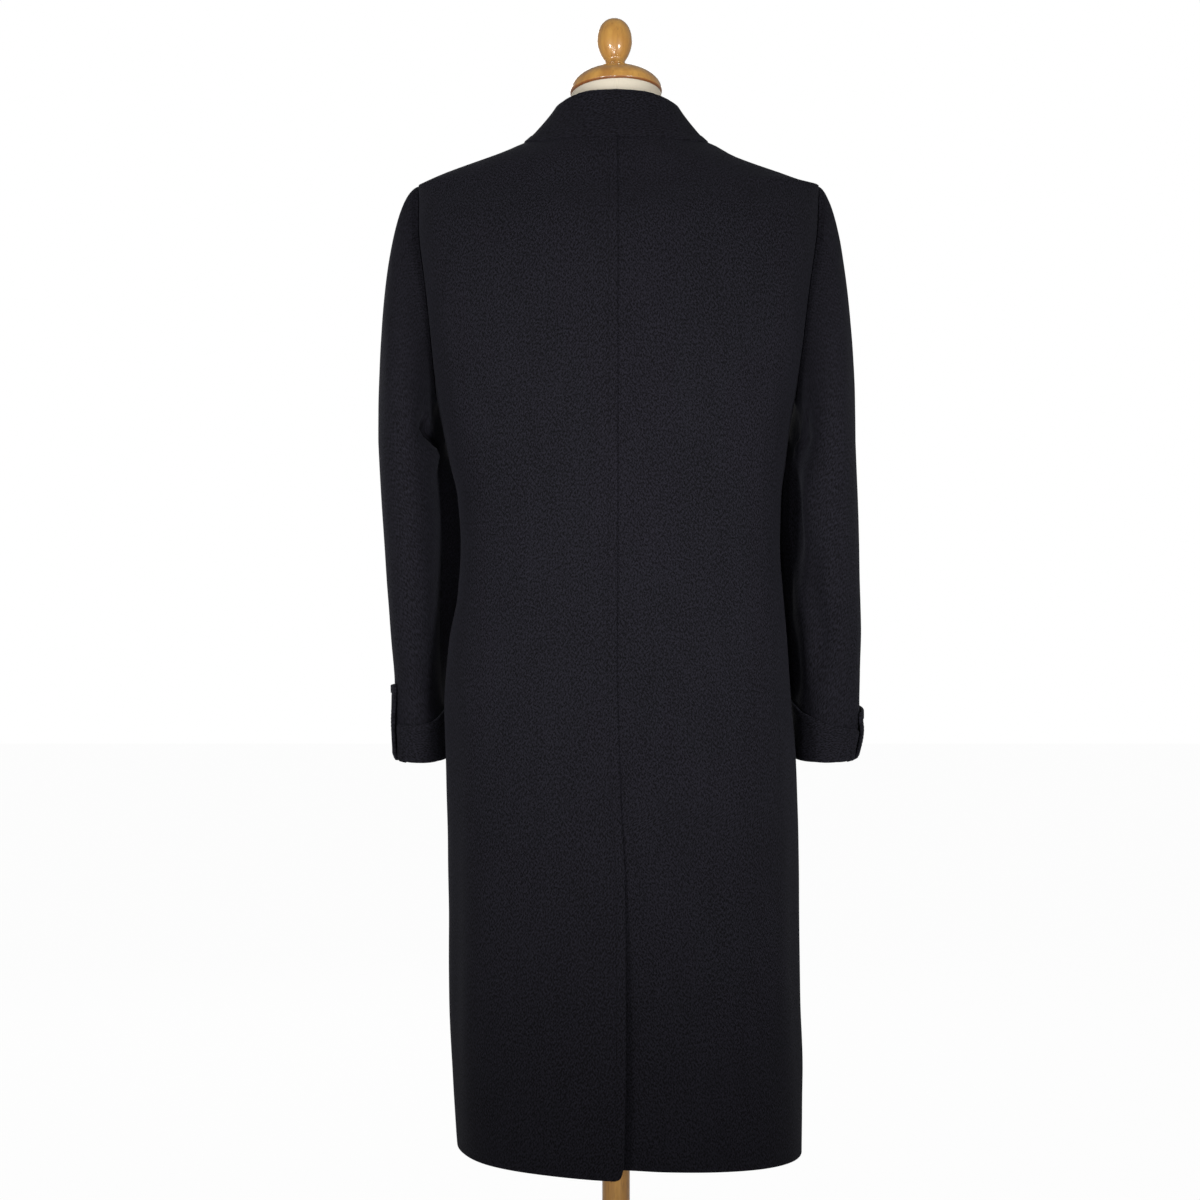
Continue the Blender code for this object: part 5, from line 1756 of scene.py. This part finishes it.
class OVERCOAT_OT_fronts(bpy.types.Operator):
    """Cut the two fronts, lapped down the centre, and sew the left one's edge"""

    bl_idname = "overcoat.fronts"
    bl_label = "Fronts"

    def execute(self, context):
        settings = context.scene.overcoat
        cloth = coat_cloth(settings)
        left_rows = panel_rows(1, -1, HEM_FRONT, GORGE_HEIGHT, FRONT_DROP)
        right_rows = panel_rows(-1, -1, HEM_FRONT, GORGE_HEIGHT, FRONT_DROP)
        left = panel("left_front", 1, -1, left_rows, front_edge_x, STITCH_MARGIN,
                     front_left_form, cloth)
        right = panel("right_front", -1, -1, right_rows, lambda z: -front_edge_x(z), 0.0,
                      front_right_form, cloth)
        declare_cloth(left, "front_left front_left_skirt")
        declare_cloth(right, "front_right")
        edge = stitch_line(left, "start", 2)
        edge = [point for point in edge if point.z < BREAK_HEIGHT - 0.002]
        edge_stitches("front_edge_stitches", [edge], settings)
        return {"FINISHED"}


class OVERCOAT_OT_lapels(bpy.types.Operator):
    """Roll the two lapels back over their fronts"""

    bl_idname = "overcoat.lapels"
    bl_label = "Lapels"

    def execute(self, context):
        settings = context.scene.overcoat
        cloth = coat_cloth(settings)
        lines = []
        for word, side, first_way in (("left", 1, 0.0), ("right", -1, 0.13)):
            cut = lapel(f"{word}_lapel", side, first_way, cloth)
            declare_cloth(cut, f"lapel_{word}")
            edge = stitch_line(cut, "end", 4, -10)
            top = stitch_line(cut, "top", 20, -10)
            lines.append([*edge, *reversed(top)])
        edge_stitches("lapel_stitches", lines, settings)
        return {"FINISHED"}


# The solids that each cut of the sleeves stands for: a top sleeve's is in two.
SLEEVE_SOLIDS = {
    ("top", "left"): "sleeve_top_left sleeve_top_left_forearm",
    ("top", "right"): "sleeve_top_right sleeve_top_right_forearm",
    ("under", "left"): "sleeve_under_left",
    ("under", "right"): "sleeve_under_right",
}


class OVERCOAT_OT_sleeves(bpy.types.Operator):
    """Cut the two-piece sleeves and hang them from the armholes"""

    bl_idname = "overcoat.sleeves"
    bl_label = "Sleeves"

    def execute(self, context):
        cloth = coat_cloth(context.scene.overcoat)
        fore_before = tuple(turn - 2 * pi for turn in FORE_SEAM)
        for word, side in (("left", 1), ("right", -1)):
            hind = HIND_SEAM[side]
            top = sleeve_piece(f"{word}_top_sleeve", side, "top", fore_before, hind, cloth)
            under = sleeve_piece(f"{word}_under_sleeve", side, "under", hind, FORE_SEAM, cloth)
            declare_cloth(top, SLEEVE_SOLIDS["top", word])
            declare_cloth(under, SLEEVE_SOLIDS["under", word])
        return {"FINISHED"}


class OVERCOAT_OT_cuffs(bpy.types.Operator):
    """Turn the deep cuffs back over the ends of the sleeves"""

    bl_idname = "overcoat.cuffs"
    bl_label = "Cuffs"

    def execute(self, context):
        settings = context.scene.overcoat
        cloth = coat_cloth(settings)
        lines = []
        for word, side in (("left", 1), ("right", -1)):
            cut = cuff(f"{word}_cuff", side, cloth)
            declare_cloth(cut, f"cuff_{word}")
            first = stitch_line(cut, "bottom", 14, -10)
            top = stitch_line(cut, "end", 10, -10)
            last = stitch_line(cut, "top", 14, -10)
            lines.append([*first, *top, *reversed(last)])
        edge_stitches("cuff_stitches", lines, settings)
        return {"FINISHED"}


class OVERCOAT_OT_collar(bpy.types.Operator):
    """Fold the collar round the neck"""

    bl_idname = "overcoat.collar"
    bl_label = "Collar"

    def execute(self, context):
        settings = context.scene.overcoat
        cut = collar(coat_cloth(settings))
        declare_cloth(cut, "collar")
        left = stitch_line(cut, "bottom", 20, -10)
        edge = stitch_line(cut, "end", 10, -10)
        right = stitch_line(cut, "top", 20, -10)
        edge_stitches("collar_stitches", [[*left, *edge, *reversed(right)]], settings)
        return {"FINISHED"}


class OVERCOAT_OT_buttons(bpy.types.Operator):
    """Turn the horn buttons, sew them on and work their buttonholes"""

    bl_idname = "overcoat.buttons"
    bl_label = "Buttons"

    def execute(self, context):
        settings = context.scene.overcoat
        spacing = settings.sewing.hole_spacing
        horn = finish_for("dark_horn", lambda: buffalo_horn(settings.form))
        thread = coat_thread(settings)
        holes = []
        bars = []
        for number, height in enumerate(BUTTON_HEIGHTS, 1):
            disc = button(number, height, spacing, horn)
            declare_solid(disc, f"button_{number}")
            holes += buttonhole_lines(height)
            bars += button_thread_lines(height, spacing)
        declare_sewing(stitched("buttonholes", holes, 0.0009, 0.0014, 0.00045, thread))
        declare_sewing(stitched("button_thread", bars, 0.0006, 0.0016, 0.00030, thread))
        return {"FINISHED"}


def softbox(name, place, aim, width, height, power, spread):
    """A large soft light, unseen by the camera."""
    light = bpy.data.lights.new(name, "AREA")
    light.shape = "RECTANGLE"
    light.size = width
    light.size_y = height
    light.energy = power
    light.spread = radians(spread)
    lamp = bpy.data.objects.new(name, light)
    lamp.location = place
    lamp.rotation_euler = (Vector(aim) - Vector(place)).to_track_quat("-Z", "Y").to_euler()
    lamp.visible_camera = False
    bpy.context.scene.collection.objects.link(lamp)


STAGE_REACH = 14.0        # the floor runs out this far each way
CAMERA_PLACE = (0.0186, 3.1, 0.919)      # behind the coat, level with its middle
CAMERA_LENS = 80.16       # in millimetres, on a sensor this wide:
CAMERA_SENSOR = 36.0
# Name, place, the point it is aimed at, width, height, power and spread in degrees.
SOFTBOXES = (
    ("left_softbox", (1.9, 3.0, 0.95), (0.17, 0.1, 0.97), 0.8, 0.6, 2.5, 30),
    ("right_softbox", (-1.9, 3.0, 0.95), (-0.17, 0.1, 0.97), 0.8, 0.6, 2.9, 30),
    ("front_softbox", (0.6, -3.2, 2.0), (0.0, 0.0, 0.9), 2.0, 1.6, 26.0, 180),
    ("left_window", (0.52, 2.30, 0.30), (0.0, 0.0, 1.30), 0.09, 1.70, 1.3, 46),
    ("right_window", (0.10, 2.30, 0.30), (0.0, 0.0, 1.30), 0.09, 1.70, 1.3, 46),
)


def white_world(strength):
    """White all round: full white behind the stage, and softer where it lights things."""
    world = bpy.data.worlds.new("studio_white")
    world.use_nodes = True
    tree = world.node_tree
    seen = tree.nodes.new("ShaderNodeLightPath").outputs["Is Camera Ray"]
    level = tree.nodes.new("ShaderNodeMath")
    level.operation = "MULTIPLY_ADD"
    level.inputs[1].default_value = 1.0 - strength
    level.inputs[2].default_value = strength
    tree.links.new(seen, level.inputs[0])
    white = tree.nodes["Background"]
    white.inputs["Color"].default_value = (1.0, 1.0, 1.0, 1.0)
    tree.links.new(level.outputs["Value"], white.inputs["Strength"])
    bpy.context.scene.world = world


def white_paper(colour):
    """The floor's paper, which the camera sees almost as if it were lit from below."""
    recipe = Recipe("studio_floor")
    grey = recipe.noise(recipe.place(), 3.0, 2.0)
    paper = recipe.blend(grey, toned(colour, 0.99), toned(colour, 1.0))
    material = recipe.finish(paper, 0.9, {"Specular IOR Level": 0.1})
    glow = recipe.node("ShaderNodeEmission", None, {"Color": (1.0, 1.0, 1.0, 1.0)})
    seen = recipe.value("ShaderNodeLightPath", "Is Camera Ray")
    both = recipe.node("ShaderNodeMixShader", None, {"Fac": seen * 0.97})
    recipe.tree.links.new(recipe.shader.outputs["BSDF"], both.inputs[1])
    recipe.tree.links.new(glow.outputs["Emission"], both.inputs[2])
    out = recipe.tree.nodes["Material Output"].inputs["Surface"]
    recipe.tree.links.new(both.outputs["Shader"], out)
    return material


class OVERCOAT_OT_stage(bpy.types.Operator):
    """Lay the floor and set the light and the camera"""

    bl_idname = "overcoat.stage"
    bl_label = "Stage"

    def execute(self, context):
        studio = context.scene.overcoat.studio
        corners = [Vector((x * STAGE_REACH, y * STAGE_REACH, 0.0)) for x, y in
                   ((-1, -1), (1, -1), (1, 1), (-1, 1))]
        floor = new_piece("studio_floor", corners, [(0, 1, 2, 3)], white_paper(studio.floor))
        white_world(studio.daylight)
        for name, place, aim, width, height, power, spread in SOFTBOXES:
            softbox(name, place, aim, width, height, power * studio.softboxes, spread)
        context.scene.view_settings.view_transform = "Standard"

        camera = bpy.data.objects.new("camera", bpy.data.cameras.new("camera"))
        camera.location = CAMERA_PLACE
        camera.rotation_euler = (pi / 2, 0.0, pi)
        camera.data.lens = CAMERA_LENS
        camera.data.sensor_width = CAMERA_SENSOR
        context.scene.collection.objects.link(camera)
        context.scene.camera = camera
        return {"FINISHED"}


class OVERCOAT_PT_panel(bpy.types.Panel):
    """The coat's pieces, in the order they are made"""

    bl_label = "Wool Overcoat"
    bl_space_type = "VIEW_3D"
    bl_region_type = "UI"
    bl_category = "Overcoat"

    def draw(self, context):
        settings = context.scene.overcoat
        for group in (settings.cloth, settings.sewing, settings.form, settings.studio):
            box = self.layout.box()
            for name in group.__annotations__:
                box.prop(group, name)
        for operator in OPERATORS:
            self.layout.operator(operator.bl_idname)


OPERATORS = (
    OVERCOAT_OT_form, OVERCOAT_OT_stand, OVERCOAT_OT_backs, OVERCOAT_OT_fronts,
    OVERCOAT_OT_lapels, OVERCOAT_OT_sleeves, OVERCOAT_OT_cuffs, OVERCOAT_OT_collar,
    OVERCOAT_OT_buttons, OVERCOAT_OT_stage,
)
CLASSES = (ClothSettings, SewingSettings, FormSettings, StudioSettings, OvercoatSettings,
           *OPERATORS, OVERCOAT_PT_panel)


def register():
    for one in CLASSES:
        bpy.utils.register_class(one)
    bpy.types.Scene.overcoat = PointerProperty(type=OvercoatSettings)


def unregister():
    del bpy.types.Scene.overcoat
    for one in reversed(CLASSES):
        bpy.utils.unregister_class(one)


def main():
    register()
    bpy.ops.overcoat.form()
    bpy.ops.overcoat.stand()
    bpy.ops.overcoat.backs()
    bpy.ops.overcoat.fronts()
    bpy.ops.overcoat.lapels()
    bpy.ops.overcoat.sleeves()
    bpy.ops.overcoat.cuffs()
    bpy.ops.overcoat.collar()
    bpy.ops.overcoat.buttons()
    bpy.ops.overcoat.stage()


if __name__ == "__main__":
    main()
